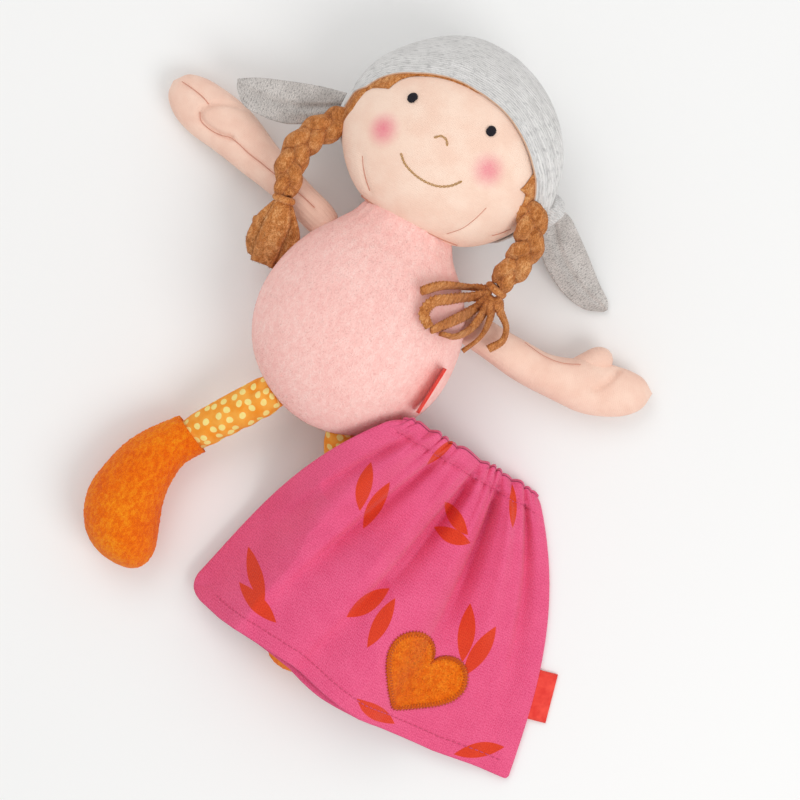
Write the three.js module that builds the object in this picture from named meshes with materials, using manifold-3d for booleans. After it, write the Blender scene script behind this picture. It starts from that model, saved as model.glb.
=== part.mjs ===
// A soft doll that lies on its back, with its skirt taken off and laid over one leg.
// Millimetres, +Z up. The back of the belly rests on z = 0 at the origin, and the head lies towards +Y.
// Left and right are the sides as seen from above.

import * as THREE from 'three';
import { mergeVertices } from 'three/addons/utils/BufferGeometryUtils.js';
import Module from 'manifold-3d';

const wasm = await Module();
wasm.setup();

// Fits that every sewn or laid joint shares
const GAP = 0.3; // between pieces that touch
const SOCKET_PLAY = 0.8; // round a ball that turns in its cup
const FLAT_DEPTH = 0.5; // how far the resting side is pressed flat
const OVERRUN = 400; // how far a cutting block reaches
const PLUSH = 1.6; // thickness of the pile cloth
const JERSEY = 1.2; // thickness of the knitted cloth
const COTTON = 0.9; // thickness of the dotted cloth

// Body, a ball that narrows to the neck
const BODY_LENGTH = 119;
const BODY_WIDTH = 114;
const BODY_DEPTH = 84;
const BODY_SIDES = 18;
const BODY_BOTTOM = -57; // place of its lower end along the doll
const NECK_LEAN = -2.5; // the head and hips sit this far to the left of the belly
const NECK_RADIUS = 27;
const NECK_DEPTH = 41;
const NECK_PLACE = 57; // place of the neck's turning point along the doll

// Head and what is on it
const HEAD_WIDTH = 116;
const HEAD_HEIGHT = 105;
const HEAD_DEPTH = 82;
const HEAD_PLACE = 117;
const HAIR_THICK = 1.8;
const SCARF_THICK = 2.4;
const SCARF_OPENING = 58; // radius of the scarf's front edge
const OPENING_PLACE = 90;
const SCARF_LOW = 99; // the front of the scarf ends here, above the jaw
const HAIR_SHOWING = 4;
const HAIR_TUCKED = 14;
const EYE_SIZE = 5.6;
const EYE_PROUD = 1.2;
const STITCH_THICK = 2.2;
const NOSE_SIZE = 7;
const MOUTH_WIDTH = 36;
const MOUTH_DROP = 8.5;
const EYE_SPACING = 46.4;
const EYE_PLACE = 130;
const NOSE_PLACE = 116;
const MOUTH_PLACE = 99.5;
const FACE_TURN = -8; // how far the face's middle is turned to the left
const FACE_TILT = 0.085; // radians, the eyes' line against the shoulders

// Arms
const ARM_LENGTH = 108;
const ARM_ROOT = 9.5; // radius of the ball at the shoulder
const HAND_WIDTH = 30;
const HAND_DEPTH = 21;
const THUMB_LENGTH = 24;
const THUMB_WIDTH = 13;
const SHOULDER_HEIGHT = 30;
const LEFT_SHOULDER = [-46.5, 45.5];
const RIGHT_SHOULDER = [51.5, 31.5];
const LEFT_ARM_ANGLE = 163;
const RIGHT_ARM_ANGLE = -3;
const RIGHT_ELBOW_BEND = 14;

// Legs and boots
const HIP_SPACING = 48;
const HIP_PLACE = -56;
const HIP_HEIGHT = 33;
const STRAP_LENGTH = 45;
const STRAP_WIDTH = 20;
const STRAP_ROOT = 9; // radius of the ball at each end of a strap
const LEFT_STRAP_ANGLE = 33;
const RIGHT_STRAP_ANGLE = 28;
const ANKLE_HEIGHT = 19.5;
const ANKLE_SWING = 12; // degrees either way
const BOOT_LENGTH = 85;
const BOOT_WIDTH = 44;
const BOOT_DEPTH = 38;
const BOOT_SIDES = 10;
const BOOT_BOW = 17; // how far the boot bows outwards
const TAB_LENGTH = 9;
const TAB_WIDTH = 12;
const TAB_THICK = 1.4;

// Braids, their ties and tassels
const BRAID_WIDTH = 16;
const BRAID_ROOT = 6.5; // radius of its rounded root
const TIE_WIDTH = 13;
const TIE_THICK = 3;
const TASSEL_WIDTH = 25;
const TASSEL_LENGTH = 36;
const TASSEL_DROP = 22;
const TASSEL_HEADING = -91;
const TASSEL_THICK = 5;
const STRIP_WIDTH = 5.5;
const STRIP_THICK = 2.4;
const TILT_ROOM = 4.5; // below the strips, so that the head can tilt
const ARM_TOP = 40; // the upper side of the arm where the strips cross it
const STRIP_SPREAD = [[206, 41], [218, 38], [233, 38], [245, 35], [268, 32], [307, 29]]; // [heading, length]

// Scarf tails and knot
const TAIL_THICK = 3;
const KNOT_WIDTH = 15;
const KNOT_LENGTH = 19;
const RIGHT_TAIL = { length: 52, width: 26, heading: -29, rise: [32, 2.4] };
const LEFT_TAIL = { length: 62, width: 21, heading: 192, rise: [31, 33.5] };

// Skirt
const SKIRT_LENGTH = 149;
const WAIST_WIDTH = 88;
const HEM_WIDTH = 205;
const SKIRT_PUFF = 7; // air between front and back
const FOLD_HEIGHT = 3.4;
const SKIRT_CORNER = [44, -28]; // where the waist's left end lies
const WAIST_SKEW = 5;
const FLARE_SHARE = 0.6; // how much of the flare comes early
const FOLDS = 7;
const CLOTH_ROOM = 0.4; // between the cloth and the rounded thing that it lies on
const CLOTH_SLOPE = 0.95;
const CLOTH_TIGHTNESS = 120; // how closely the cloth follows what is under it
const LEG_SWING = 8; // degrees that the leg below can swing either way
const SHEET_COLUMNS = 20;
const SHEET_ROWS = 8;
const ELASTIC_WIDTH = 6;
const ELASTIC_THICK = 0.9;
const ELASTIC_ROOM = 1.6; // between the elastic and the cloth, up and down
const ELASTIC_INSET = 1.5; // below the waist's edge
const HEART_WIDTH = 46;
const HEART_THICK = 1.4;
const HEART_PLACE = [120, -153];
const HEART_TURN = -12;
const LABEL_LENGTH = 29;
const LABEL_WIDTH = 13;
const LABEL_THICK = 0.8;
const SKIRT_LABEL_SHARE = 0.67; // how far down the right seam it is sewn
const BODY_LABEL_PLACE = -9.5;
const BODY_LABEL_SHARE = 0.9; // of the body's half width
const BODY_LABEL_LEAN = 12;
const BODY_LABEL_TURN = -4;

// Profiles of the swelling forms, from one end to the other
// [share of the length, share of the half width]
const BODY_PROFILE_SHARES = [
  [0, 0], [0.014, 0.21], [0.055, 0.45], [0.115, 0.645], [0.2, 0.81], [0.3, 0.925], [0.41, 0.99],
  [0.5, 1], [0.6, 0.975], [0.7, 0.91], [0.8, 0.8], [0.9, 0.635], [1, 0.47], [1, 0],
];
const HEAD_PROFILE_SHARES = [
  [0, 0], [0.014, 0.34], [0.06, 0.62], [0.13, 0.8], [0.2, 0.9], [0.29, 0.97], [0.39, 1], [0.5, 0.985],
  [0.62, 0.935], [0.74, 0.83], [0.85, 0.675], [0.94, 0.46], [0.988, 0.22], [1, 0],
];
const TIE_PROFILE_SHARES = [[-1, 0.8], [-0.6, 1], [0.6, 1], [1, 0.8]];
const BRAID_PROFILE_SHARES = [[0.12, 0.98], [0.35, 1], [0.6, 0.98], [0.82, 0.95], [0.97, 0.72], [1, 0]];
const TAIL_PROFILE_SHARES = {
  right: [[0, 0.3], [0.15, 0.55], [0.35, 0.88], [0.55, 1], [0.75, 0.94], [0.9, 0.7], [1, 0.34]],
  left: [[0, 0.45], [0.2, 0.84], [0.4, 1], [0.6, 0.98], [0.8, 0.86], [0.93, 0.68], [1, 0.52]],
};
// [share of the length, share of the width, share of the depth]
const ARM_PROFILE_SHARES = [
  [0.1, 0.66, 0.9], [0.25, 0.69, 0.95], [0.42, 0.72, 0.98], [0.56, 0.84, 1], [0.68, 0.98, 1],
  [0.78, 1, 1], [0.87, 0.92, 0.94], [0.94, 0.7, 0.74], [0.985, 0.36, 0.4], [1, 0, 0],
];
// [share of the length, share of the width, share of the depth, share of the bow]
const BOOT_PROFILE_SHARES = [
  [-0.02, 0.45, 0.52, 0], [0.08, 0.52, 0.6, 0.16], [0.2, 0.62, 0.78, 0.48],
  [0.34, 0.77, 0.9, 0.78], [0.48, 0.91, 0.97, 0.97], [0.62, 0.99, 1, 1], [0.76, 0.98, 0.99, 0.88],
  [0.88, 0.84, 0.88, 0.66], [0.96, 0.6, 0.62, 0.5], [0.99, 0.3, 0.3, 0.45], [1, 0, 0, 0.43],
];
// [share of the length, share of the width, share of the drop]
const TASSEL_PROFILE_SHARES = [
  [0, 0.42, 0], [0.2, 0.68, 0.02], [0.45, 0.95, 0.16], [0.7, 1, 0.45], [0.9, 0.88, 0.8], [1, 0.7, 1],
];
// Places along the braids: [share of the head's width across, share of its height along, share of its rise]
const BRAID_ROUTE_SHARES = {
  left: [[-0.539, -0.238, 0.5], [-0.595, -0.325, 0.5], [-0.625, -0.45, 0.5], [-0.598, -0.57, 0.5],
    [-0.571, -0.66, 0.5]],
  right: [[0.501, -0.238, 0.695], [0.54, -0.31, 0.65], [0.541, -0.395, 0.62], [0.526, -0.476, 0.595],
    [0.513, -0.565, 0.575]],
};
// How far down the hem hangs at even steps from left to right, as shares of the skirt's length
const HEM_SHARES = [0.95, 0.975, 0.98, 0.985, 1.02, 1.045, 1.04, 1.03, 1.005, 0.99];
// Right half of the heart's outline, from the notch to the tip, as shares of its width
const HEART_OUTLINE_SHARES = [
  [0, 0.18], [0.03, 0.25], [0.177, 0.363], [0.394, 0.324], [0.5, 0.125], [0.42, -0.1], [0.21, -0.31],
  [0.04, -0.47], [0, -0.5],
];

// Worked out from the sizes above
const BODY_HALF = BODY_WIDTH / 2;
// Height of the belly's middle, which rests on a facet
const BODY_RISE = (BODY_DEPTH / 2) * Math.cos(Math.PI / BODY_SIDES) - FLAT_DEPTH;
const SCARF_OUT = GAP + HAIR_THICK + GAP + SCARF_THICK;
const HEAD_RISE = HEAD_DEPTH / 2 + SCARF_OUT - FLAT_DEPTH;
const NECK_POINT = new THREE.Vector3(NECK_LEAN, NECK_PLACE, BODY_RISE);
const HEAD_POINT = new THREE.Vector3(NECK_LEAN, HEAD_PLACE, HEAD_RISE);
const HAND_RISE = HAND_DEPTH / 2 - FLAT_DEPTH;
const BOOT_RISE = BOOT_DEPTH / 2 - FLAT_DEPTH;

// Colour, roughness and name of each cloth
const CLOTHS = {
  pink_plush: [0xf3b9b6, 0.95],
  peach_jersey: [0xf7cdb4, 0.9],
  grey_jersey: [0xb9babd, 0.92],
  brown_plush: [0xa8672c, 0.95],
  orange_plush: [0xef8a12, 0.95],
  dotted_cotton: [0xf39a1d, 0.85],
  magenta_jersey: [0xd83c87, 0.9],
  stuffing: [0xf1efe9, 1.0],
  black_thread: [0x1c1a1a, 0.7],
  gold_thread: [0xb98338, 0.7],
  red_ribbon: [0xc8202c, 0.75],
  elastic: [0xe9e6e0, 0.85],
};

const doll = new THREE.Group();

function addPiece(name, cloth, solid) {
  const geometry = solid instanceof THREE.BufferGeometry ? solid : toGeometry(solid);
  const [color, roughness] = CLOTHS[cloth];
  const material = new THREE.MeshStandardMaterial({ color, roughness, metalness: 0 });
  const mesh = new THREE.Mesh(geometry, material);
  mesh.name = name;
  doll.add(mesh);
  return mesh;
}

// Booleans

function toSolid(geometry) {
  const bare = geometry.clone();
  bare.deleteAttribute('normal');
  bare.deleteAttribute('uv');
  const merged = mergeVertices(bare, 1e-4);
  return new wasm.Manifold(new wasm.Mesh({
    numProp: 3,
    vertProperties: new Float32Array(merged.attributes.position.array),
    triVerts: new Uint32Array(merged.index.array),
  }));
}

function toGeometry(solid) {
  const mesh = solid.getMesh();
  const geometry = new THREE.BufferGeometry();
  geometry.setAttribute('position', new THREE.BufferAttribute(new Float32Array(mesh.vertProperties), 3));
  geometry.setIndex(new THREE.BufferAttribute(new Uint32Array(mesh.triVerts), 1));
  return geometry;
}

function ballAt(point, radius, sides = 12) {
  const ball = new THREE.SphereGeometry(radius, sides, Math.round(sides / 2));
  return ball.translate(point.x, point.y, point.z);
}

function blockBetween(low, high) {
  const size = high.clone().sub(low);
  const middle = high.clone().add(low).divideScalar(2);
  return toSolid(new THREE.BoxGeometry(size.x, size.y, size.z).translate(middle.x, middle.y, middle.z));
}

function belowPlane(height) {
  return blockBetween(
    new THREE.Vector3(-OVERRUN, -OVERRUN, height - OVERRUN),
    new THREE.Vector3(OVERRUN, OVERRUN, height),
  );
}

const floorBlock = belowPlane(0);

function uprightDrum(x, y, low, high, radius, sides = 28) {
  const drum = new THREE.CylinderGeometry(radius, radius, high - low, sides);
  return toSolid(drum.rotateX(Math.PI / 2).translate(x, y, (low + high) / 2));
}

// Swelling forms: rings of points along a route, closed by a point at each end

function loft(rings, closed = false) {
  const positions = [];
  const starts = [];
  for (const ring of rings) {
    starts.push(positions.length / 3);
    for (const p of ring) positions.push(p.x, p.y, p.z);
  }
  const faces = [];
  const count = closed ? rings.length : rings.length - 1;
  for (let k = 0; k < count; k++) {
    const here = rings[k];
    const next = rings[(k + 1) % rings.length];
    const a = starts[k];
    const b = starts[(k + 1) % rings.length];
    const sides = Math.max(here.length, next.length);
    for (let n = 0; n < sides; n++) {
      const m = (n + 1) % sides;
      if (here.length === 1) faces.push(a, b + m, b + n);
      else if (next.length === 1) faces.push(a + n, a + m, b);
      else faces.push(a + n, a + m, b + m, a + n, b + m, b + n);
    }
  }
  const geometry = new THREE.BufferGeometry();
  geometry.setAttribute('position', new THREE.Float32BufferAttribute(positions, 3));
  geometry.setIndex(faces);
  if (volumeOf(geometry) < 0) geometry.setIndex(faces.reverse());
  return geometry;
}

function volumeOf(geometry) {
  const p = geometry.attributes.position;
  const [a, b, c] = [new THREE.Vector3(), new THREE.Vector3(), new THREE.Vector3()];
  let total = 0;
  for (let k = 0; k < geometry.index.count; k += 3) {
    a.fromBufferAttribute(p, geometry.index.getX(k));
    b.fromBufferAttribute(p, geometry.index.getX(k + 1));
    c.fromBufferAttribute(p, geometry.index.getX(k + 2));
    total += a.dot(b.cross(c)) / 6;
  }
  return total;
}

// One ring round a point of the route: its long side lies level, its short side stands up
function ringAround(point, along, wide, deep, sides, turn = 0) {
  if (wide === 0) return [point.clone()];
  const side = new THREE.Vector3(along.y, -along.x, 0).normalize();
  const up = new THREE.Vector3().crossVectors(side, along).normalize();
  const ring = [];
  for (let n = 0; n < sides; n++) {
    const angle = (n / sides) * Math.PI * 2 + turn;
    ring.push(point.clone()
      .addScaledVector(side, wide * Math.cos(angle))
      .addScaledVector(up, deep * Math.sin(angle)));
  }
  return ring;
}

// The same form made smaller all round, for what lies inside it
function inset(geometry, depth) {
  const bare = geometry.clone();
  const merged = mergeVertices(bare, 1e-4);
  merged.computeVertexNormals();
  const p = merged.attributes.position;
  const n = merged.attributes.normal;
  for (let k = 0; k < p.count; k++) {
    p.setXYZ(k, p.getX(k) - depth * n.getX(k), p.getY(k) - depth * n.getY(k), p.getZ(k) - depth * n.getZ(k));
  }
  merged.deleteAttribute('normal');
  return merged;
}

function bodyHalfWidth(y) {
  const share = (y - BODY_BOTTOM) / BODY_LENGTH;
  for (let k = 1; k < BODY_PROFILE_SHARES.length - 1; k++) {
    const [s0, w0] = BODY_PROFILE_SHARES[k - 1];
    const [s1, w1] = BODY_PROFILE_SHARES[k];
    if (share >= s0 && share <= s1) return BODY_HALF * (w0 + ((w1 - w0) * (share - s0)) / (s1 - s0));
  }
  return 0;
}

// Height of the belly's upper surface above the table, or nothing outside its outline
function bodyTop(x, y) {
  const half = bodyHalfWidth(y);
  if (Math.abs(x) >= half) return BODY_RISE;
  return BODY_RISE + (half * BODY_DEPTH / BODY_WIDTH) * Math.sqrt(1 - (x / half) ** 2);
}

function bodyForm(sides) {
  const rings = BODY_PROFILE_SHARES.map(([share, wideShare]) => ringAround(
    new THREE.Vector3(0, BODY_BOTTOM + share * BODY_LENGTH, BODY_RISE), new THREE.Vector3(0, 1, 0),
    BODY_HALF * wideShare, (BODY_DEPTH / 2) * wideShare, sides));
  return loft(rings);
}

// A knob that turns about the upright axis through the neck
function neckKnob(extra, sides) {
  const knob = new THREE.SphereGeometry(1, sides, sides / 2);
  knob.rotateX(Math.PI / 2);
  knob.scale(NECK_RADIUS + extra, NECK_RADIUS + extra, NECK_DEPTH / 2 + extra);
  return toSolid(knob.translate(NECK_POINT.x, NECK_POINT.y, NECK_POINT.z));
}

// Where the limbs turn

const hips = {
  left: new THREE.Vector3(NECK_LEAN - HIP_SPACING / 2, HIP_PLACE, HIP_HEIGHT),
  right: new THREE.Vector3(NECK_LEAN + HIP_SPACING / 2, HIP_PLACE, HIP_HEIGHT),
};
const shoulders = {
  left: new THREE.Vector3(...LEFT_SHOULDER, SHOULDER_HEIGHT),
  right: new THREE.Vector3(...RIGHT_SHOULDER, SHOULDER_HEIGHT),
};

// A direction on the table, in degrees from +X
function heading(degrees) {
  const radians = THREE.MathUtils.degToRad(degrees);
  return new THREE.Vector3(Math.cos(radians), Math.sin(radians), 0);
}

const strapHeadings = { left: heading(-90 - LEFT_STRAP_ANGLE), right: heading(-90 + RIGHT_STRAP_ANGLE) };
const ankles = {};
for (const side of ['left', 'right']) {
  ankles[side] = hips[side].clone().addScaledVector(strapHeadings[side], STRAP_LENGTH).setZ(ANKLE_HEIGHT);
}

// Flat slot in which a leg's sewn-in tab swings
function tabSlot(point) {
  const corner = Math.hypot(STRAP_ROOT + GAP + TAB_LENGTH, TAB_WIDTH / 2);
  return uprightDrum(point.x, point.y, point.z - TAB_THICK / 2 - GAP, point.z + TAB_THICK / 2 + GAP,
    corner + SOCKET_PLAY, 12);
}

function makeBody() {
  const outer = toSolid(bodyForm(BODY_SIDES)).add(neckKnob(0, 20)).subtract(floorBlock);
  const within = (depth) => toSolid(inset(bodyForm(BODY_SIDES / 2), depth)).add(neckKnob(-depth, 10));
  const inner = within(PLUSH).subtract(belowPlane(PLUSH));
  const core = within(PLUSH + GAP)
    .subtract(belowPlane(PLUSH + GAP));
  let cuts = toSolid(ballAt(hips.left, STRAP_ROOT + SOCKET_PLAY));
  cuts = cuts.add(toSolid(ballAt(hips.right, STRAP_ROOT + SOCKET_PLAY)));
  for (const side of ['left', 'right']) {
    cuts = cuts.add(toSolid(ballAt(shoulders[side], ARM_ROOT + SOCKET_PLAY))).add(tabSlot(hips[side]));
  }
  const skin = outer.subtract(inner).subtract(cuts);
  addPiece('body_front_panel', 'pink_plush', skin.subtract(belowPlane(BODY_RISE + GAP / 2)));
  addPiece('body_back_panel', 'pink_plush', skin.intersect(belowPlane(BODY_RISE - GAP / 2)));
  addPiece('body_filling', 'stuffing', core.subtract(cuts));
}

// Head

function headForm(extra, sides) {
  const height = HEAD_HEIGHT + 2 * extra;
  const rings = HEAD_PROFILE_SHARES.map(([share, wideShare]) => ringAround(
    new THREE.Vector3(HEAD_POINT.x, HEAD_PLACE - height / 2 + share * height, HEAD_RISE),
    new THREE.Vector3(0, 1, 0),
    (HEAD_WIDTH / 2 + extra) * wideShare, (HEAD_DEPTH / 2 + extra) * wideShare, sides));
  return toSolid(loft(rings));
}

// The head's half width at a place, as a share of its widest
function headShare(place, extra = 0) {
  const share = (place - HEAD_PLACE) / (HEAD_HEIGHT + 2 * extra) + 0.5;
  const next = HEAD_PROFILE_SHARES.findIndex(([end]) => end >= share);
  if (next < 1) return 0;
  const [s0, w0] = HEAD_PROFILE_SHARES[next - 1];
  const [s1, w1] = HEAD_PROFILE_SHARES[next];
  return w0 + ((w1 - w0) * (share - s0)) / (s1 - s0);
}

// Height of the face above the table
function faceTop(x, y) {
  const across = (x - HEAD_POINT.x) / (HEAD_WIDTH / 2);
  return HEAD_RISE + (HEAD_DEPTH / 2) * Math.sqrt(Math.max(0, headShare(y) ** 2 - across ** 2));
}

function onFace(x, y, proud) {
  const point = new THREE.Vector3(x, y, faceTop(x, y));
  const slopeX = faceTop(x + 1, y) - faceTop(x - 1, y);
  const slopeY = faceTop(x, y + 1) - faceTop(x, y - 1);
  const normal = new THREE.Vector3(-slopeX / 2, -slopeY / 2, 1).normalize();
  return { point: point.addScaledVector(normal, proud), normal };
}

// A place on the face from its own middle line, turned and tilted as the head lies
function facePlace(across, place) {
  const x = HEAD_POINT.x + FACE_TURN + across;
  return [x - (place - HEAD_PLACE) * FACE_TILT, place + across * FACE_TILT];
}

function threadAlong(points, thickness, sides, steps) {
  const curve = new THREE.CatmullRomCurve3(points);
  const round = new THREE.Shape();
  round.absarc(0, 0, thickness / 2, 0, Math.PI * 2);
  return new THREE.ExtrudeGeometry(round, { steps, curveSegments: sides, extrudePath: curve });
}

function makeHead() {
  const neckCut = neckKnob(SOCKET_PLAY, 20);
  const skin = headForm(0, 20).subtract(headForm(-JERSEY, 10)).subtract(neckCut);
  const seam = HEAD_RISE;
  addPiece('face_panel', 'peach_jersey', skin.subtract(belowPlane(seam + GAP / 2)));
  addPiece('head_back_panel', 'peach_jersey', skin.intersect(belowPlane(seam - GAP / 2)));
  const core = headForm(-JERSEY - GAP, 10);
  addPiece('head_filling', 'stuffing', core.subtract(neckKnob(SOCKET_PLAY + GAP, 20)));

  const frontLow = HEAD_RISE - HEAD_DEPTH / 8;
  const faceX = HEAD_POINT.x + FACE_TURN / 3;
  const opening = (radius) => uprightDrum(faceX, OPENING_PLACE, frontLow, frontLow + OVERRUN, radius);
  const chinCut = blockBetween(
    new THREE.Vector3(-OVERRUN, -OVERRUN, frontLow), new THREE.Vector3(OVERRUN, SCARF_LOW, OVERRUN));
  const napeCut = blockBetween(
    new THREE.Vector3(-OVERRUN, -OVERRUN, -OVERRUN),
    new THREE.Vector3(OVERRUN, NECK_PLACE + NECK_RADIUS / 2, OVERRUN));
  const hair = headForm(GAP + HAIR_THICK, 20).subtract(headForm(GAP, 20))
    .intersect(opening(SCARF_OPENING + HAIR_TUCKED).subtract(opening(SCARF_OPENING - HAIR_SHOWING)))
    .subtract(chinCut);
  addPiece('hair_fringe', 'brown_plush', hair);
  const scarf = headForm(SCARF_OUT, 20).subtract(headForm(SCARF_OUT - SCARF_THICK, 20))
    .subtract(opening(SCARF_OPENING)).subtract(chinCut).subtract(napeCut)
    .subtract(neckKnob(SOCKET_PLAY, 20)).subtract(floorBlock);
  addPiece('headscarf', 'grey_jersey', scarf);

  for (const [name, across] of [['left_eye', -EYE_SPACING / 2], ['right_eye', EYE_SPACING / 2]]) {
    const { point, normal } = onFace(...facePlace(across, EYE_PLACE), GAP + EYE_PROUD / 2);
    const eye = new THREE.CylinderGeometry(EYE_SIZE / 3, EYE_SIZE / 2, EYE_PROUD, 12);
    eye.applyQuaternion(new THREE.Quaternion().setFromUnitVectors(new THREE.Vector3(0, 1, 0), normal));
    addPiece(name, 'black_thread', eye.translate(point.x, point.y, point.z));
  }
  const proud = GAP + STITCH_THICK / 2;
  const arc = (width, place, drop, count) => Array.from({ length: count }, (_, k) => {
    const share = k / (count - 1) - 0.5;
    return onFace(...facePlace(share * width, place - drop * (1 - 4 * share ** 2)), proud).point;
  });
  const nose = arc(NOSE_SIZE, NOSE_PLACE - NOSE_SIZE / 6, -NOSE_SIZE / 3, 5);
  addPiece('nose_stitch', 'gold_thread', threadAlong(nose, STITCH_THICK, 4, 4));
  const mouth = arc(MOUTH_WIDTH, MOUTH_PLACE, MOUTH_DROP, 9);
  addPiece('mouth_stitch', 'gold_thread', threadAlong(mouth, STITCH_THICK, 4, 12));
}

// Limbs: a round root that turns in its cup, then the limb's own swelling

function limbForm(route, rootRadius, stations, sides) {
  const curve = new THREE.CatmullRomCurve3(route, false, 'centripetal');
  const length = curve.getLength();
  const start = curve.getPointAt(0);
  const along = curve.getTangentAt(0);
  const rings = [[start.clone().addScaledVector(along, -rootRadius)]];
  for (const angle of [Math.PI / 6, Math.PI / 3, Math.PI / 2]) {
    const radius = rootRadius * Math.sin(angle);
    const place = start.clone().addScaledVector(along, -rootRadius * Math.cos(angle));
    rings.push(ringAround(place, along, radius, radius, sides));
  }
  for (const [place, wide, deep] of stations) {
    const share = Math.min(1, place / length);
    rings.push(ringAround(curve.getPointAt(share), curve.getTangentAt(share), wide, deep, sides));
  }
  return loft(rings);
}

function makeArm(side, degrees, bend) {
  const root = shoulders[side];
  const upper = root.clone().addScaledVector(heading(degrees), ARM_LENGTH / 2);
  upper.z = (SHOULDER_HEIGHT + HAND_RISE) / 2;
  const tip = upper.clone().addScaledVector(heading(degrees + bend), ARM_LENGTH / 2).setZ(HAND_RISE);
  const route = [root, upper, tip];
  const stations = ARM_PROFILE_SHARES.map(([share, wideShare, deepShare]) => [
    share * ARM_LENGTH, (wideShare * HAND_WIDTH) / 2, (deepShare * HAND_DEPTH) / 2]);
  const thumbBase = root.clone().lerp(tip, 0.64);
  const thumbSide = new THREE.Vector3(heading(degrees).y, -heading(degrees).x, 0);
  if (side === 'left') thumbSide.negate().multiplyScalar(0.2);
  else thumbSide.negate().multiplyScalar(0.8);
  const thumbTip = thumbBase.clone()
    .addScaledVector(heading(degrees + bend), THUMB_LENGTH / 2)
    .addScaledVector(thumbSide, THUMB_LENGTH / 2);
  thumbTip.z = thumbBase.z + HAND_DEPTH / 2;
  const thumbHalf = THUMB_WIDTH / 2;
  const thumb = toSolid(limbForm([thumbBase, thumbTip], thumbHalf / 2,
    [[THUMB_LENGTH / 3, thumbHalf, thumbHalf], [THUMB_LENGTH / 1.5, thumbHalf, thumbHalf],
      [THUMB_LENGTH, 0, 0]], 8));
  const outer = limbForm(route, ARM_ROOT, stations, 10);
  const inner = toSolid(inset(limbForm(route, ARM_ROOT, stations, 6), JERSEY));
  const core = toSolid(inset(limbForm(route, ARM_ROOT, stations, 6), JERSEY + GAP));
  const mouth = toSolid(ballAt(root.clone().addScaledVector(heading(degrees), -ARM_ROOT), ARM_ROOT / 2, 10));
  const skin = toSolid(outer).add(thumb).subtract(inner).subtract(mouth).subtract(floorBlock);
  addPiece(`${side}_arm_skin`, 'peach_jersey', skin);
  addPiece(`${side}_arm_filling`, 'stuffing', core.subtract(belowPlane(JERSEY + GAP)));
}

function makeLeg(side) {
  const out = side === 'left' ? -1 : 1;
  const hip = hips[side];
  const ankle = ankles[side];
  const along = strapHeadings[side];
  const half = STRAP_WIDTH / 2;
  const strap = (sides, depth) => {
    const outer = limbForm([hip, ankle], STRAP_ROOT, [
      [STRAP_LENGTH * 0.25, half, STRAP_ROOT], [STRAP_LENGTH * 0.5, half, STRAP_ROOT],
      [STRAP_LENGTH * 0.75, half, STRAP_ROOT], [hip.distanceTo(ankle), STRAP_ROOT, STRAP_ROOT],
      [hip.distanceTo(ankle), 0, 0]], sides);
    return toSolid(inset(outer, depth)).add(toSolid(ballAt(ankle, STRAP_ROOT - depth, sides)));
  };
  const slope = ankle.clone().sub(hip).normalize();
  const mouth = toSolid(ballAt(hip.clone().addScaledVector(slope, -STRAP_ROOT), STRAP_ROOT / 2, 10));
  addPiece(`${side}_leg_tube`, 'dotted_cotton', strap(8, 0).subtract(strap(8, COTTON)).subtract(mouth));
  addPiece(`${side}_leg_filling`, 'stuffing', strap(4, COTTON + GAP));

  const tab = new THREE.BoxGeometry(TAB_LENGTH, TAB_WIDTH, TAB_THICK);
  tab.rotateZ(Math.atan2(-along.y, -along.x));
  const tabPlace = hip.clone().addScaledVector(along, -(STRAP_ROOT + GAP + TAB_LENGTH / 2));
  addPiece(`${side}_leg_tab`, 'dotted_cotton', tab.translate(tabPlace.x, tabPlace.y, tabPlace.z));

  const towards = new THREE.Vector3(0, -1, 0);
  const bootForm = (sides) => {
    const rings = BOOT_PROFILE_SHARES.map(([share, wideShare, deepShare, bowShare]) => {
      const place = ankle.clone().addScaledVector(towards, share * BOOT_LENGTH).setZ(BOOT_RISE);
      place.x += out * BOOT_BOW * bowShare;
      return ringAround(place, towards, (BOOT_WIDTH / 2) * wideShare, (BOOT_DEPTH / 2) * deepShare, sides);
    });
    return loft([[centreOf(rings[0])], ...rings]);
  };
  const outer = bootForm(BOOT_SIDES);
  const backAlong = along.clone().negate();
  const flare = half + SOCKET_PLAY + half * Math.tan(THREE.MathUtils.degToRad(ANKLE_SWING)) * 2;
  const roomHalf = STRAP_ROOT + SOCKET_PLAY;
  const roomy = [0, 1].map((share) => ringAround(
    ankle.clone().addScaledVector(backAlong, share * STRAP_WIDTH), backAlong,
    roomHalf + share * (flare - STRAP_ROOT) * 1.5, roomHalf + share * half, 10));
  const funnel = loft([[centreOf(roomy[0])], ...roomy, [centreOf(roomy[1])]]);
  const cup = toSolid(ballAt(ankle, roomHalf)).add(toSolid(funnel));
  const skin = toSolid(outer).subtract(toSolid(inset(bootForm(BOOT_SIDES / 2), PLUSH))).subtract(cup)
    .subtract(floorBlock);
  addPiece(`${side}_boot_skin`, 'orange_plush', skin);
  const core = toSolid(inset(bootForm(BOOT_SIDES / 2), PLUSH + GAP)).subtract(cup)
    .subtract(belowPlane(PLUSH + GAP));
  addPiece(`${side}_boot_filling`, 'stuffing', core);
}

function centreOf(ring) {
  return ring.reduce((sum, p) => sum.add(p), new THREE.Vector3()).divideScalar(ring.length);
}

// Braids. Each is a plain rounded rope from its root at the head to the tie, with a tassel below the tie.

// A place given as shares of the head's size, counted from the head's middle and from the table
function byHead([across, along, rise]) {
  return new THREE.Vector3(HEAD_POINT.x + across * HEAD_WIDTH, HEAD_PLACE + along * HEAD_HEIGHT,
    rise * 2 * HEAD_RISE);
}

const braidEnds = {};

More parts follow.
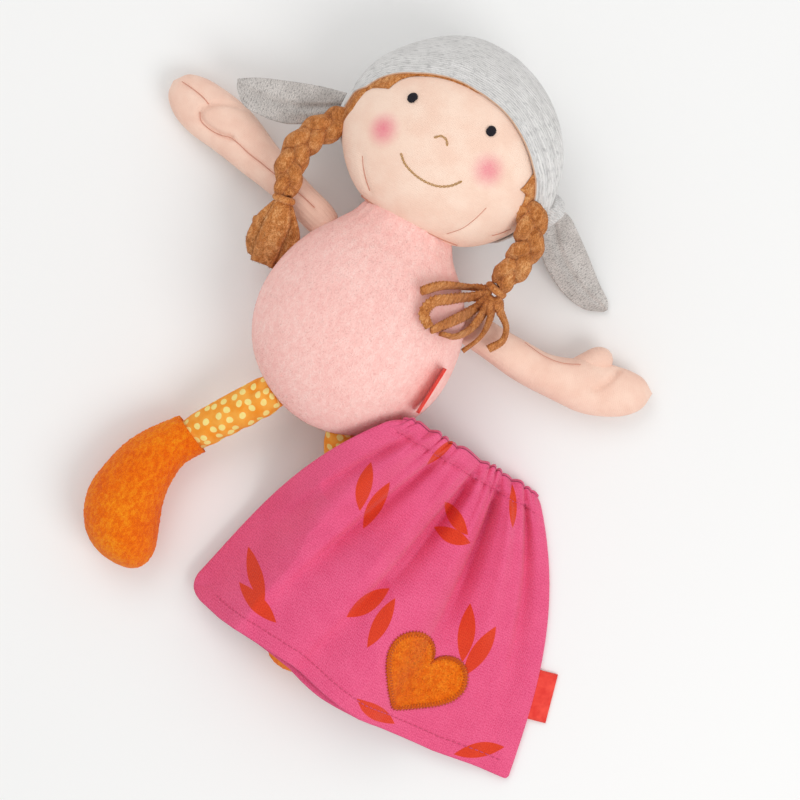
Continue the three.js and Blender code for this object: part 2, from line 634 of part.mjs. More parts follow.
function makeBraid(side) {
  const route = BRAID_ROUTE_SHARES[side].map(byHead);
  const length = new THREE.CatmullRomCurve3(route, false, 'centripetal').getLength();
  const half = BRAID_WIDTH / 2;
  const stations = BRAID_PROFILE_SHARES.map(([share, wideShare]) => [
    share * length, half * wideShare, half * wideShare]);
  const rope = limbForm(route, BRAID_ROOT, stations, 10);
  const end = route[route.length - 1];
  const along = end.clone().sub(route[route.length - 2]).normalize();
  braidEnds[side] = { root: route[0], end, along };
  addPiece(`${side}_braid`, 'brown_plush', rope);
  const tieMiddle = end.clone().addScaledVector(along, GAP + TIE_THICK / 2);
  const rings = TIE_PROFILE_SHARES.map(([share, wideShare]) => ringAround(
    tieMiddle.clone().addScaledVector(along, (share * TIE_THICK) / 2), along,
    (TIE_WIDTH / 2) * wideShare, (TIE_WIDTH / 2) * wideShare, 10));
  const tie = loft([[centreOf(rings[0])], ...rings, [centreOf(rings[3])]]);
  addPiece(`${side}_braid_tie`, 'brown_plush', tie);
  braidEnds[side].below = tieMiddle.clone().addScaledVector(along, TIE_THICK / 2 + GAP);
}

// The left tassel is a bundle of broad strips that falls from the tie over the arm
function makeLeftTassel() {
  const { below, along } = braidEnds.left;
  const towards = heading(TASSEL_HEADING);
  const rings = TASSEL_PROFILE_SHARES.map(([share, wideShare, dropShare]) => ringAround(
    below.clone().addScaledVector(towards, share * TASSEL_LENGTH).setZ(below.z - dropShare * TASSEL_DROP),
    share === 0 ? along : towards, (TASSEL_WIDTH / 2) * wideShare, TASSEL_THICK / 2, 8, Math.PI / 8));
  addPiece('left_tassel', 'brown_plush', loft([[centreOf(rings[0])], ...rings, [centreOf(rings[5])]]));
}

// Height at which a strip lies clear of the belly, also when the head tilts
function stripRest(place, towards) {
  const side = new THREE.Vector3(-towards.y, towards.x, 0).multiplyScalar(STRIP_WIDTH / 2);
  const tops = [-1, 0, 1].map((n) => bodyTop(place.x + n * side.x, place.y + n * side.y));
  return Math.max(...tops, ARM_TOP) + TILT_ROOM + STRIP_THICK / 2;
}

function makeRightTassel() {
  const { below, along } = braidEnds.right;
  const start = below.clone().addScaledVector(along, STRIP_THICK);
  let bundle = toSolid(ballAt(start, STRIP_THICK, 10));
  for (const [degrees, length] of STRIP_SPREAD) {
    const towards = heading(degrees);
    const end = start.clone().addScaledVector(towards, length);
    end.z = stripRest(end, towards);
    const rings = [0, 0.25, 0.5, 0.75, 1].map((share) => {
      const place = start.clone().lerp(end, share);
      if (share > 0) place.z = Math.max(place.z, stripRest(place, towards));
      return ringAround(place, towards, STRIP_WIDTH / 2, STRIP_THICK / 2, 6);
    });
    bundle = bundle.add(toSolid(loft([[centreOf(rings[0])], ...rings, [centreOf(rings[4])]])));
  }
  addPiece('right_tassel', 'brown_plush', bundle);
}

// How far the scarf's outside lies from the head's middle line at a place and height
function scarfSide(place, height) {
  const up = (height - HEAD_RISE) / (HEAD_DEPTH / 2 + SCARF_OUT);
  return (HEAD_WIDTH / 2 + SCARF_OUT) * Math.sqrt(headShare(place, SCARF_OUT) ** 2 - up ** 2);
}

// Scarf tails: flat leaves that leave the scarf at its side
function makeTail(side, root, { length, width, heading: degrees, rise }) {
  const towards = heading(degrees);
  const rings = TAIL_PROFILE_SHARES[side].map(([share, wideShare]) => {
    const place = root.clone().addScaledVector(towards, share * length);
    place.z = rise[1] + (rise[0] - rise[1]) * (1 - share) ** 2;
    return ringAround(place, towards, (width / 2) * wideShare, TAIL_THICK / 2, 8, Math.PI / 8);
  });
  addPiece(`${side}_scarf_tail`, 'grey_jersey',
    loft([[centreOf(rings[0])], ...rings, [centreOf(rings[rings.length - 1])]]));
}

function makeScarfEnds() {
  const knotPlace = new THREE.Vector3(0, HEAD_PLACE - HEAD_HEIGHT * 0.05, HEAD_RISE * 0.8);
  knotPlace.x = HEAD_POINT.x + scarfSide(knotPlace.y, knotPlace.z) - 2 * GAP + KNOT_WIDTH / 2;
  const knot = new THREE.SphereGeometry(0.5, 12, 8);
  knot.rotateX(Math.PI / 2);
  knot.scale(KNOT_WIDTH, KNOT_LENGTH, KNOT_WIDTH);
  addPiece('scarf_knot', 'grey_jersey', knot.translate(knotPlace.x, knotPlace.y, knotPlace.z));
  const right = knotPlace.clone().addScaledVector(heading(RIGHT_TAIL.heading), KNOT_WIDTH / 2 + GAP);
  makeTail('right', right, RIGHT_TAIL);
  const left = new THREE.Vector3(0, HEAD_PLACE - HEAD_HEIGHT * 0.11, LEFT_TAIL.rise[0]);
  left.x = HEAD_POINT.x - scarfSide(left.y, left.z) - 4 * GAP;
  makeTail('left', left, LEFT_TAIL);
}

// Skirt. Places on it are given by two shares: across from its left seam, and down from its waist.

// How far the side seams have flared out by a share of the way down
function seamFlare(down) {
  return FLARE_SHARE * (1 - (1 - down) ** 3) + (1 - FLARE_SHARE) * down;
}

function skirtPlace(across, down) {
  const flare = ((HEM_WIDTH - WAIST_WIDTH) / 2) * seamFlare(down);
  const x = SKIRT_CORNER[0] - flare + across * (WAIST_WIDTH + 2 * flare);
  const waist = SKIRT_CORNER[1] - across * WAIST_SKEW;
  const step = Math.min(HEM_SHARES.length - 2, Math.floor(across * (HEM_SHARES.length - 1)));
  const part = across * (HEM_SHARES.length - 1) - step;
  const longer = HEM_SHARES[step] * (1 - part) + HEM_SHARES[step + 1] * part;
  return [x, waist - SKIRT_LENGTH * longer * down];
}

// What holds the skirt up: [x, y, height, radius of the level top]
function skirtSupports() {
  const supports = [];
  const hip = hips.right;
  const ankle = ankles.right;
  for (const share of [0.2, 0.5, 0.8]) {
    const place = hip.clone().lerp(ankle, share);
    supports.push([place.x, place.y, place.z + STRAP_ROOT, STRAP_WIDTH * (0.5 + 0.3 * share)]);
  }
  for (const [share, wideShare, deepShare, bowShare] of BOOT_PROFILE_SHARES.slice(1, 9)) {
    const swing = (STRAP_LENGTH + share * BOOT_LENGTH) * Math.tan(THREE.MathUtils.degToRad(LEG_SWING));
    supports.push([ankle.x + BOOT_BOW * bowShare, ankle.y - share * BOOT_LENGTH,
      BOOT_RISE + (BOOT_DEPTH / 2) * deepShare * Math.cos(Math.PI / BOOT_SIDES),
      (BOOT_WIDTH / 2) * wideShare + swing]);
  }
  const step = BODY_HALF / 9;
  for (let x = BODY_HALF / 3; x < BODY_HALF; x += step) {
    for (let y = BODY_BOTTOM; y < SKIRT_CORNER[1] + step; y += step) {
      if (Math.abs(x) < bodyHalfWidth(y)) supports.push([x, y, bodyTop(x, y), step / 2]);
    }
  }
  return supports;
}
const supports = skirtSupports();

// Height of the skirt's underside: a cloth held up by its supports and falling to the table between them
function clothRest(x, y) {
  let sum = 0;
  for (const [sx, sy, height, radius] of supports) {
    const fall = CLOTH_SLOPE * Math.max(0, Math.hypot(x - sx, y - sy) - radius);
    sum += Math.max(0, height + CLOTH_ROOM - fall) ** CLOTH_TIGHTNESS;
  }
  return sum ** (1 / CLOTH_TIGHTNESS);
}

// Air between the two sides of the skirt, with the folds that run down from the waist
function puffAt(across, down) {
  const open = Math.sin(Math.PI * across) ** 0.6;
  const fold = 0.5 + 0.5 * Math.cos(2 * Math.PI * (FOLDS * across + 0.22 * Math.sin(5 * across + 2 * down)));
  const air = SKIRT_PUFF * (1.3 - 0.3 * down);
  return GAP + open * (air + FOLD_HEIGHT * fold * (1 - 0.45 * down));
}

function skirtPoint(across, down, layer) {
  const [x, y] = skirtPlace(across, down);
  const rest = clothRest(x, y);
  const front = JERSEY + puffAt(across, down);
  const levels = [0, JERSEY, front, front + JERSEY, front + JERSEY + GAP, front + JERSEY + GAP + HEART_THICK];
  return new THREE.Vector3(x, y, rest + levels[layer]);
}

// A sheet between two of the skirt's surfaces, on a grid whose squares are all split the same way
function skirtSheet(lower, upper) {
  const columns = SHEET_COLUMNS + 1;
  const positions = [];
  for (const layer of [upper, lower]) {
    for (let r = 0; r <= SHEET_ROWS; r++) {
      for (let c = 0; c <= SHEET_COLUMNS; c++) {
        positions.push(...skirtPoint(c / SHEET_COLUMNS, r / SHEET_ROWS, layer).toArray());
      }
    }
  }
  const below = columns * (SHEET_ROWS + 1);
  const faces = [];
  for (let r = 0; r < SHEET_ROWS; r++) {
    for (let c = 0; c < SHEET_COLUMNS; c++) {
      const a = r * columns + c;
      const b = a + 1;
      const d = a + columns;
      const e = d + 1;
      faces.push(a, d, e, a, e, b, a + below, e + below, d + below, a + below, b + below, e + below);
    }
  }
  const rim = [];
  for (let c = 0; c < SHEET_COLUMNS; c++) rim.push(c);
  for (let r = 0; r < SHEET_ROWS; r++) rim.push(r * columns + SHEET_COLUMNS);
  for (let c = SHEET_COLUMNS; c > 0; c--) rim.push(SHEET_ROWS * columns + c);
  for (let r = SHEET_ROWS; r > 0; r--) rim.push(r * columns);
  rim.forEach((a, k) => {
    const b = rim[(k + 1) % rim.length];
    faces.push(a, b, b + below, a, b + below, a + below);
  });
  const geometry = new THREE.BufferGeometry();
  geometry.setAttribute('position', new THREE.Float32BufferAttribute(positions, 3));
  geometry.setIndex(faces);
  return geometry;
}

// A place inside the gathered edge, a share of one row below the waist
function casingPoint(column, share, layer) {
  const across = column / SHEET_COLUMNS;
  return skirtPoint(across, 0, layer).lerp(skirtPoint(across, 1 / SHEET_ROWS, layer), share);
}

// The elastic is one loop: along the back of the waist and home along the front
function waistElastic() {
  const first = 3;
  const last = SHEET_COLUMNS - first;
  const stations = [];
  for (let c = first; c <= last; c++) stations.push([c, 1, 1]);
  for (let c = last; c >= first; c--) stations.push([c, 2, -1]);
  const start = ELASTIC_INSET / (SKIRT_LENGTH / SHEET_ROWS);
  const end = start + ELASTIC_WIDTH / (SKIRT_LENGTH / SHEET_ROWS);
  return loft(stations.map(([column, layer, up]) => {
    const turn = column === first ? ELASTIC_THICK : column === last ? -ELASTIC_THICK : 0;
    const place = (share, depth, shift) => {
      const point = casingPoint(column, share, layer);
      return point.add(new THREE.Vector3(shift, 0, up * depth));
    };
    const outside = ELASTIC_ROOM;
    return [place(start, outside, 0), place(end, outside, 0),
      place(end, outside + ELASTIC_THICK, turn), place(start, outside + ELASTIC_THICK, turn)];
  }), true);
}

function heartPatch() {
  const outline = HEART_OUTLINE_SHARES.concat(
    HEART_OUTLINE_SHARES.slice(1, -1).reverse().map(([across, along]) => [-across, along]));
  const shape = new THREE.Shape(outline.map(([across, along]) => new THREE.Vector2(
    across * HEART_WIDTH, along * HEART_WIDTH)));
  const block = new THREE.ExtrudeGeometry(shape, { depth: OVERRUN, bevelEnabled: false });
  block.rotateZ(THREE.MathUtils.degToRad(HEART_TURN)).translate(...HEART_PLACE, 0);
  return toSolid(block).intersect(toSolid(skirtSheet(4, 5)));
}

function makeSkirt() {
  addPiece('skirt_back_panel', 'magenta_jersey', skirtSheet(0, 1));
  addPiece('skirt_front_panel', 'magenta_jersey', skirtSheet(2, 3));
  addPiece('waist_elastic', 'elastic', waistElastic());
  addPiece('heart_patch', 'orange_plush', heartPatch());
  const top = skirtPoint(1, SKIRT_LABEL_SHARE - LABEL_LENGTH / SKIRT_LENGTH / 2, 1);
  const bottom = skirtPoint(1, SKIRT_LABEL_SHARE + LABEL_LENGTH / SKIRT_LENGTH / 2, 1);
  const seam = bottom.clone().sub(top).setZ(0).normalize();
  const out = new THREE.Vector3(-seam.y, seam.x, 0);
  const place = top.clone().lerp(bottom, 0.5).addScaledVector(out, LABEL_WIDTH / 2 + 3 * GAP);
  const label = new THREE.BoxGeometry(LABEL_LENGTH, LABEL_WIDTH, LABEL_THICK);
  label.rotateZ(Math.atan2(seam.y, seam.x));
  addPiece('skirt_label', 'red_ribbon', label.translate(place.x, place.y, place.z));
}

// The ribbon label that stands on edge at the belly's right side
function makeBodyLabel() {
  const half = bodyHalfWidth(BODY_LABEL_PLACE);
  const x = half * BODY_LABEL_SHARE;
  const z = bodyTop(x, BODY_LABEL_PLACE);
  const label = new THREE.BoxGeometry(LABEL_THICK, LABEL_LENGTH, LABEL_WIDTH);
  label.translate(LABEL_THICK / 2, 0, LABEL_WIDTH / 2 + GAP);
  label.rotateY(THREE.MathUtils.degToRad(BODY_LABEL_LEAN)).rotateZ(THREE.MathUtils.degToRad(BODY_LABEL_TURN));
  addPiece('body_label', 'red_ribbon', label.translate(x, BODY_LABEL_PLACE, z));
}

makeBody();
makeHead();
makeArm('left', LEFT_ARM_ANGLE, 0);
makeArm('right', RIGHT_ARM_ANGLE, RIGHT_ELBOW_BEND);
makeLeg('left');
makeLeg('right');
makeBraid('left');
makeBraid('right');
makeLeftTassel();
makeRightTassel();
makeScarfEnds();
makeSkirt();
makeBodyLabel();

export default doll;
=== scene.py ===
"""The looks of a soft cloth doll that lies on its back, with its skirt laid over one leg.
Lengths are in millimetres until a piece is made. Left and right are the sides as seen from above."""
import math

import bpy
import numpy as np
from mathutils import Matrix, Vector


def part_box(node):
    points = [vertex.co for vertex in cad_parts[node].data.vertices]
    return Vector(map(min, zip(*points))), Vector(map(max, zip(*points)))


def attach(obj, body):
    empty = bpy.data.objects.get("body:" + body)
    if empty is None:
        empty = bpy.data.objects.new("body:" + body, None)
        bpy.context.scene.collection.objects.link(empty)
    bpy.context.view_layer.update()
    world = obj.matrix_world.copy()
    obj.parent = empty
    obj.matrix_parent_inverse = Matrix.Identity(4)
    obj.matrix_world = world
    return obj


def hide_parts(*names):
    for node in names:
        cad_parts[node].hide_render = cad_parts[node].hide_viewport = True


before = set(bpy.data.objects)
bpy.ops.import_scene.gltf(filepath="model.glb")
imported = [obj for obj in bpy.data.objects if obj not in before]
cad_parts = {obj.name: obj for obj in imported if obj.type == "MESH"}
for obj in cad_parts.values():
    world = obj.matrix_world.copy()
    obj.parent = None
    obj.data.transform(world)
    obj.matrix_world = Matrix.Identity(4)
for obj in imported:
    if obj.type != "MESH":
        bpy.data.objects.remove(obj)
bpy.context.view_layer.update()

MM = 0.001
JERSEY = 1.2  # thickness of the knitted cloth
GAP = 0.3  # room between two layers of cloth

# Camera: straight above the middle of the picture, turned so that the doll leans to the left

PICTURE_WIDTH = 440  # what the picture takes in, at the height of the arms
ARM_HEIGHT = 25
CAMERA_ABOVE = 1700
CAMERA_OVER = (38.4, -21.9)
CAMERA_TURN = 27.97  # degrees
SENSOR_WIDTH = 36
camera = bpy.data.objects.new("camera", bpy.data.cameras.new("camera"))
bpy.context.scene.collection.objects.link(camera)
camera.data.sensor_width = SENSOR_WIDTH
camera.data.lens = SENSOR_WIDTH * CAMERA_ABOVE / PICTURE_WIDTH
camera.location = (CAMERA_OVER[0] * MM, CAMERA_OVER[1] * MM, (ARM_HEIGHT + CAMERA_ABOVE) * MM)
camera.rotation_euler = (0, 0, math.radians(CAMERA_TURN))
bpy.context.scene.camera = camera
bpy.context.scene.view_settings.view_transform = "Standard"


# Finishes

def dye(red, green, blue):
    """A colour as it looks, each part from 0 to 255."""
    parts = [value / 255 for value in (red, green, blue)]
    return tuple(v / 12.92 if v <= 0.04045 else ((v + 0.055) / 1.055) ** 2.4 for v in parts) + (1.0,)


SPREAD = (0.3, 0.7)  # between these lies most of a cloudy noise


class Amount:
    """A number that varies over a cloth. Sums and products of amounts add Math nodes."""

    def __init__(self, nodes, socket):
        self.nodes, self.socket = nodes, socket

    def math(self, operation, *values):
        return self.nodes.add("ShaderNodeMath", {"operation": operation}, dict(enumerate(values)))

    def __add__(self, other):
        return self.math("ADD", self, other)

    def __radd__(self, other):
        return self.math("ADD", other, self)

    def __sub__(self, other):
        return self.math("SUBTRACT", self, other)

    def __rsub__(self, other):
        return self.math("SUBTRACT", other, self)

    def __mul__(self, other):
        return self.math("MULTIPLY", self, other)

    def __rmul__(self, other):
        return self.math("MULTIPLY", other, self)

    def __truediv__(self, other):
        return self.math("DIVIDE", self, other)

    def __rtruediv__(self, other):
        return self.math("DIVIDE", other, self)

    def __abs__(self):
        return self.math("ABSOLUTE", self)

    def wave(self):
        return self.math("SINE", self)

    def lesser(self, other):
        return self.math("MINIMUM", self, other)

    def greater(self, other):
        return self.math("MAXIMUM", self, other)

    def between(self, low, high):
        """From 0 at low to 1 at high, smoothly."""
        return self.nodes.add("ShaderNodeMapRange", {"interpolation_type": "SMOOTHSTEP"},
                              {"Value": self, "From Min": low, "From Max": high})


class Nodes:
    """The nodes of a finish or of the room."""

    def __init__(self, tree):
        self.tree = tree

    def fill(self, node, sockets):
        """Sets a node's sockets, or links them where the value is an amount."""
        for key, value in sockets.items():
            if isinstance(value, Amount):
                self.tree.links.new(value.socket, node.inputs[key])
            else:
                node.inputs[key].default_value = value

    def add(self, kind, settings=None, sockets=None, output=0):
        """A new node. Its settings come first, then its sockets."""
        node = self.tree.nodes.new(kind)
        for key, value in (settings or {}).items():
            setattr(node, key, value)
        self.fill(node, sockets or {})
        return Amount(self, node.outputs[output])


class Finish(Nodes):
    """What one cloth or thread looks like."""

    def __init__(self, name, roughness, sheen=0.0):
        self.material = bpy.data.materials.new(name)
        self.material.use_nodes = True
        super().__init__(self.material.node_tree)
        self.shader = self.tree.nodes["Principled BSDF"]
        self.set({"Roughness": roughness, "Sheen Weight": sheen, "Sheen Roughness": 0.5,
                  "Specular IOR Level": 0.15})

    def set(self, sockets):
        self.fill(self.shader, sockets)
        return self

    def on_doll(self):
        """The place on the doll, in metres."""
        return self.add("ShaderNodeTexCoord", output="Object")

    def on_cloth(self):
        """The place on the flat cloth, in metres."""
        return self.add("ShaderNodeTexCoord", output="UV")

    def part(self, place, axis):
        return self.add("ShaderNodeSeparateXYZ", sockets={0: place}, output=axis)

    def scaled(self, place, size, stretch=(1, 1, 1)):
        return self.add("ShaderNodeVectorMath", {"operation": "MULTIPLY"},
                        {0: place, 1: tuple(share / (size * MM) for share in stretch)})

    def cloudy(self, place, size, detail=2.0, stretch=(1, 1, 1)):
        """Cloudy noise, most of it from 0.3 to 0.7."""
        return self.add("ShaderNodeTexNoise",
                        sockets={"Vector": self.scaled(place, size, stretch), "Scale": 1.0, "Detail": detail})

    def waves(self, place, axis, pitch):
        """Even waves across a cloth, one in each pitch."""
        return (self.part(place, axis) * (2 * math.pi / (pitch * MM))).wave()

    def mixed(self, share, first, second):
        return self.add("ShaderNodeMix", {"data_type": "RGBA"}, {0: share, 6: first, 7: second}, output=2)

    def coloured(self, colour):
        return self.set({"Base Color": colour})

    def raised(self, height, depth, strength=1.0):
        return self.set({"Normal": self.add("ShaderNodeBump", sockets={
            "Height": height, "Distance": depth * MM, "Strength": strength})})


PATCH_SIZE = 30  # how far apart the patches lie where pile was brushed


def plush(name, shade, middle, light, pile_size, brushed=(1, 1, 1), depth=0.9):
    """Short pile: brushed patches, strokes in them, then single tufts."""
    finish = Finish(name, 0.95, sheen=0.1)
    place = finish.on_doll()
    patches = finish.cloudy(place, PATCH_SIZE).between(*SPREAD)
    strokes = finish.cloudy(place, pile_size * 5, 2.5, brushed)
    tufts = finish.cloudy(place, pile_size, 3.0, brushed)
    tone = patches * 0.2 + strokes.between(*SPREAD) * 0.35 + tufts.between(*SPREAD) * 0.45
    low = finish.mixed(tone.between(0.0, 0.55), shade, middle)
    finish.coloured(finish.mixed(tone.between(0.45, 1.0), low, light))
    return finish.raised(strokes * 0.25 + tufts, depth)


def jersey(name, shade, light, knit, flecks, depth, on_cloth=True, uneven=1.0, grain_size=0.7):
    """Fine knit: columns of stitches with a row across each, and soft unevenness."""
    finish = Finish(name, 0.88, sheen=0.15)
    place = finish.on_cloth() if on_cloth else finish.on_doll()
    turn = 2 * math.pi / (knit * MM)
    columns = finish.waves(place, 0, knit)
    rows = (finish.part(place, 1) * turn * 0.8 + abs(columns) * 1.2).wave()
    stitches = (columns * 0.5 + rows * 0.5) * 0.5 + 0.5
    clouds = finish.cloudy(place, 14, 3.0).between(*SPREAD)
    grain = finish.cloudy(place, grain_size).between(*SPREAD)
    clouds = (clouds - 0.5) * uneven + 0.5
    tone = stitches * 0.25 + clouds * (0.75 - flecks) + grain * flecks
    finish.coloured(finish.mixed(tone, shade, light))
    return finish.raised(stitches + grain * 0.5, depth), place, tone


PINK_PLUSH = plush("pink_plush", dye(247, 187, 180), dye(252, 201, 193), dye(255, 216, 208), pile_size=0.9,
                   brushed=(1.6, 0.7, 1.2), depth=0.35)
BROWN_PLUSH = plush("brown_plush", dye(160, 88, 36), dye(208, 132, 70), dye(250, 190, 128), pile_size=0.8,
                    brushed=(1.5, 0.7, 1.5), depth=1.1)
ORANGE_PLUSH = plush("orange_plush", dye(226, 82, 0), dye(246, 116, 2), dye(255, 162, 26), pile_size=0.6,
                     brushed=(1.6, 0.8, 1.3), depth=0.7)
PATCH_PLUSH = plush("patch_plush", dye(224, 90, 2), dye(240, 114, 10), dye(252, 146, 34), pile_size=0.7,
                    depth=0.5)

SKIN = dye(246, 208, 187), dye(254, 227, 208)


def face_jersey():
    """Peach jersey with two soft round blushes on the cheeks."""
    finish, place, tone = jersey("face_jersey", *SKIN, knit=0.8, flecks=0.15, depth=0.12, on_cloth=False)
    cheeks = 0.0
    for middle, reach, strength in CHEEKS:
        far = finish.add("ShaderNodeVectorMath", {"operation": "DISTANCE"},
                         {0: place, 1: tuple(v * MM for v in middle)}, output="Value")
        cheeks = ((1 - far.between(0.0, reach * MM)) * strength).greater(cheeks)
    speckle = finish.cloudy(place, 1.2).between(0.2, 0.9) * 0.3 + 0.8
    base = finish.mixed(tone, *SKIN)
    finish.coloured(finish.mixed(cheeks * speckle, base, dye(236, 112, 138)))
    return finish


def heather(name, dark, light, fleck_dark, ribbed=1.0):
    """Grey heather jersey: fine ribs with dark flecks along them. The less ribbed, the more speckled."""
    finish = Finish(name, 0.9, sheen=0.1)
    place = finish.on_cloth()
    ribs = finish.waves(place, 1, 1.35) * 0.5 + 0.5
    flecks = finish.cloudy(place, 0.8, 2.0, (0.6 - 0.4 * ribbed, 1, 1)).between(0.5, 0.68)
    clouds = finish.cloudy(place, 12, 3.0).between(*SPREAD)
    grain = finish.cloudy(place, 0.5).between(*SPREAD)
    tone = ribs * 0.4 * ribbed + clouds * 0.3 + grain * (0.7 - 0.4 * ribbed)
    base = finish.mixed(tone, dark, light)
    finish.coloured(finish.mixed(flecks * (0.5 - 0.15 * ribbed), base, fleck_dark))
    return finish.raised(ribs * ribbed + grain * 0.4, 0.28)


def dotted_cotton():
    """Orange woven cotton with small pale dots at uneven places."""
    finish = Finish("dotted_cotton", 0.85, sheen=0.05)
    place = finish.on_cloth()
    spots = finish.add("ShaderNodeTexVoronoi", {"voronoi_dimensions": "2D"},
                       {"Vector": finish.scaled(place, 6.3), "Scale": 1.0, "Randomness": 0.5})
    uneven = finish.cloudy(place, 1.6, 1.0) * 0.06
    dot = 1 - (spots + uneven).between(0.31, 0.345)
    weave = finish.waves(place, 0, 0.5) * finish.waves(place, 1, 0.5)
    cloth = finish.mixed(finish.cloudy(place, 9, 3.0).between(*SPREAD), dye(250, 152, 42), dye(255, 180, 76))
    print_colour = finish.mixed(finish.cloudy(place, 2), dye(252, 224, 124), dye(255, 240, 160))
    finish.coloured(finish.mixed(dot, cloth, print_colour))
    return finish.raised(weave, 0.06)


MAGENTA = dye(210, 58, 106), dye(250, 112, 154)


def skirt_jersey():
    """Magenta jersey printed with pairs of plain leaves."""
    finish, place, tone = jersey("skirt_jersey", *MAGENTA, knit=1.1, flecks=0.45, depth=0.2, uneven=0.4,
                                 grain_size=0.8)
    across, down = finish.part(place, 0), finish.part(place, 1)
    nearest = 2.0
    for left, top, turn, length, width in PRINTED_LEAVES:
        c, s = math.cos(math.radians(turn)), math.sin(math.radians(turn))
        x, y = across - left * MM, down - top * MM
        along = (x * c + y * s) / (length / 2 * MM)
        side = abs(y * c - x * s) / (width / 2 * MM)
        nearest = (along * along + side).lesser(nearest)
    printed = 1 - nearest.between(0.96, 1.04)
    base = finish.mixed(tone, *MAGENTA)
    colour = finish.mixed(tone, dye(206, 48, 22), dye(234, 74, 30))
    finish.coloured(finish.mixed(printed * 0.97, base, colour))
    return finish


THREAD_TWIST = 0.8


def twisted_thread(name, shade, light):
    """Sewing thread, with its strands twisted round each other."""
    finish = Finish(name, 0.6, sheen=0.1)
    place = finish.on_cloth()
    slanting = finish.part(place, 0) + finish.part(place, 1)
    strands = (slanting * (2 * math.pi / (THREAD_TWIST * MM))).wave() * 0.5 + 0.5
    fuzz = finish.cloudy(place, 0.4)
    finish.coloured(finish.mixed(strands * 0.7 + fuzz * 0.3, shade, light))
    return finish.raised(strands, 0.12)


def ribbon():
    """Red woven ribbon with fine ribs across it."""
    finish = Finish("red_ribbon", 0.6, sheen=0.1)
    place = finish.on_cloth()
    ribs = finish.waves(place, 0, 0.55) * 0.5 + 0.5
    clouds = finish.cloudy(place, 5, 3.0).between(*SPREAD)
    finish.coloured(finish.mixed(ribs * 0.35 + clouds * 0.65, dye(222, 48, 42), dye(250, 86, 72)))
    return finish.raised(ribs, 0.08)


def elastic_web():
    """White elastic, with cords along it."""
    finish = Finish("elastic_web", 0.8)
    place = finish.on_doll()
    grain = finish.cloudy(place, 0.9, 2.0, (0.4, 1.6, 1.0)).between(*SPREAD)
    finish.coloured(finish.mixed(grain, dye(214, 210, 202), dye(242, 240, 235)))
    return finish.raised(grain, 0.15)


# [middle, reach, strength]
CHEEKS = [((-36.6, 101.6, 77.0), 12.0, 0.85), ((22.4, 108.0, 82.0), 12.5, 0.75)]
# [across from the middle, down from the waist, turn, length, width] on the flat front of the skirt
PRINTED_LEAVES = [
    (-52, 44, 62, 30, 9), (-39, 50, 84, 30, 9), (10, 33, 20, 26, 8), (13, 42, -6, 26, 8),
    (46, 84, 70, 32, 10), (58, 90, 98, 32, 10), (-78, 118, 40, 30, 9), (-70, 130, 14, 30, 9),
    (-14, 96, 118, 30, 9), (-2, 100, 92, 30, 9), (86, 140, 150, 28, 9), (48, 12, 76, 22, 7),
    (-26, 6, 100, 22, 7), (20, 142, 8, 28, 8),
]

FACE_JERSEY = face_jersey()
ARM_JERSEY = jersey("arm_jersey", dye(241, 197, 177), dye(252, 218, 199), knit=0.9, flecks=0.15, depth=0.14)[0]
SCARF_JERSEY = heather("scarf_jersey", dye(206, 204, 202), dye(242, 240, 238), dye(120, 119, 119))
TAIL_JERSEY = heather("tail_jersey", dye(158, 152, 148), dye(230, 224, 219), dye(70, 66, 64), 0.25)
DOTTED_COTTON = dotted_cotton()
SKIRT_JERSEY = skirt_jersey()
BLACK_THREAD = twisted_thread("black_thread", dye(10, 9, 14), dye(44, 40, 50))
GOLD_THREAD = twisted_thread("gold_thread", dye(156, 106, 50), dye(230, 188, 126))
SEAM_THREAD = twisted_thread("seam_thread", dye(204, 132, 108), dye(232, 168, 146))
PINK_THREAD = twisted_thread("pink_thread", dye(194, 46, 92), dye(230, 100, 142))
PATCH_THREAD = twisted_thread("patch_thread", dye(190, 74, 10), dye(222, 100, 20))
PIPING = twisted_thread("scarf_piping", dye(206, 160, 128), dye(232, 196, 168))
RED_RIBBON = ribbon()
ELASTIC_WEB = elastic_web()


# Making a piece

FLAT_ENDS = ("flat", "flat")
TUFT_ROOT = 0.2  # how deep a tuft starts in the cloth
TUFT_DISORDER = 0.45  # how far a tuft strays from the combed way
TUFT_SHEEN = 0.45  # how far a tuft takes the light from the combed way


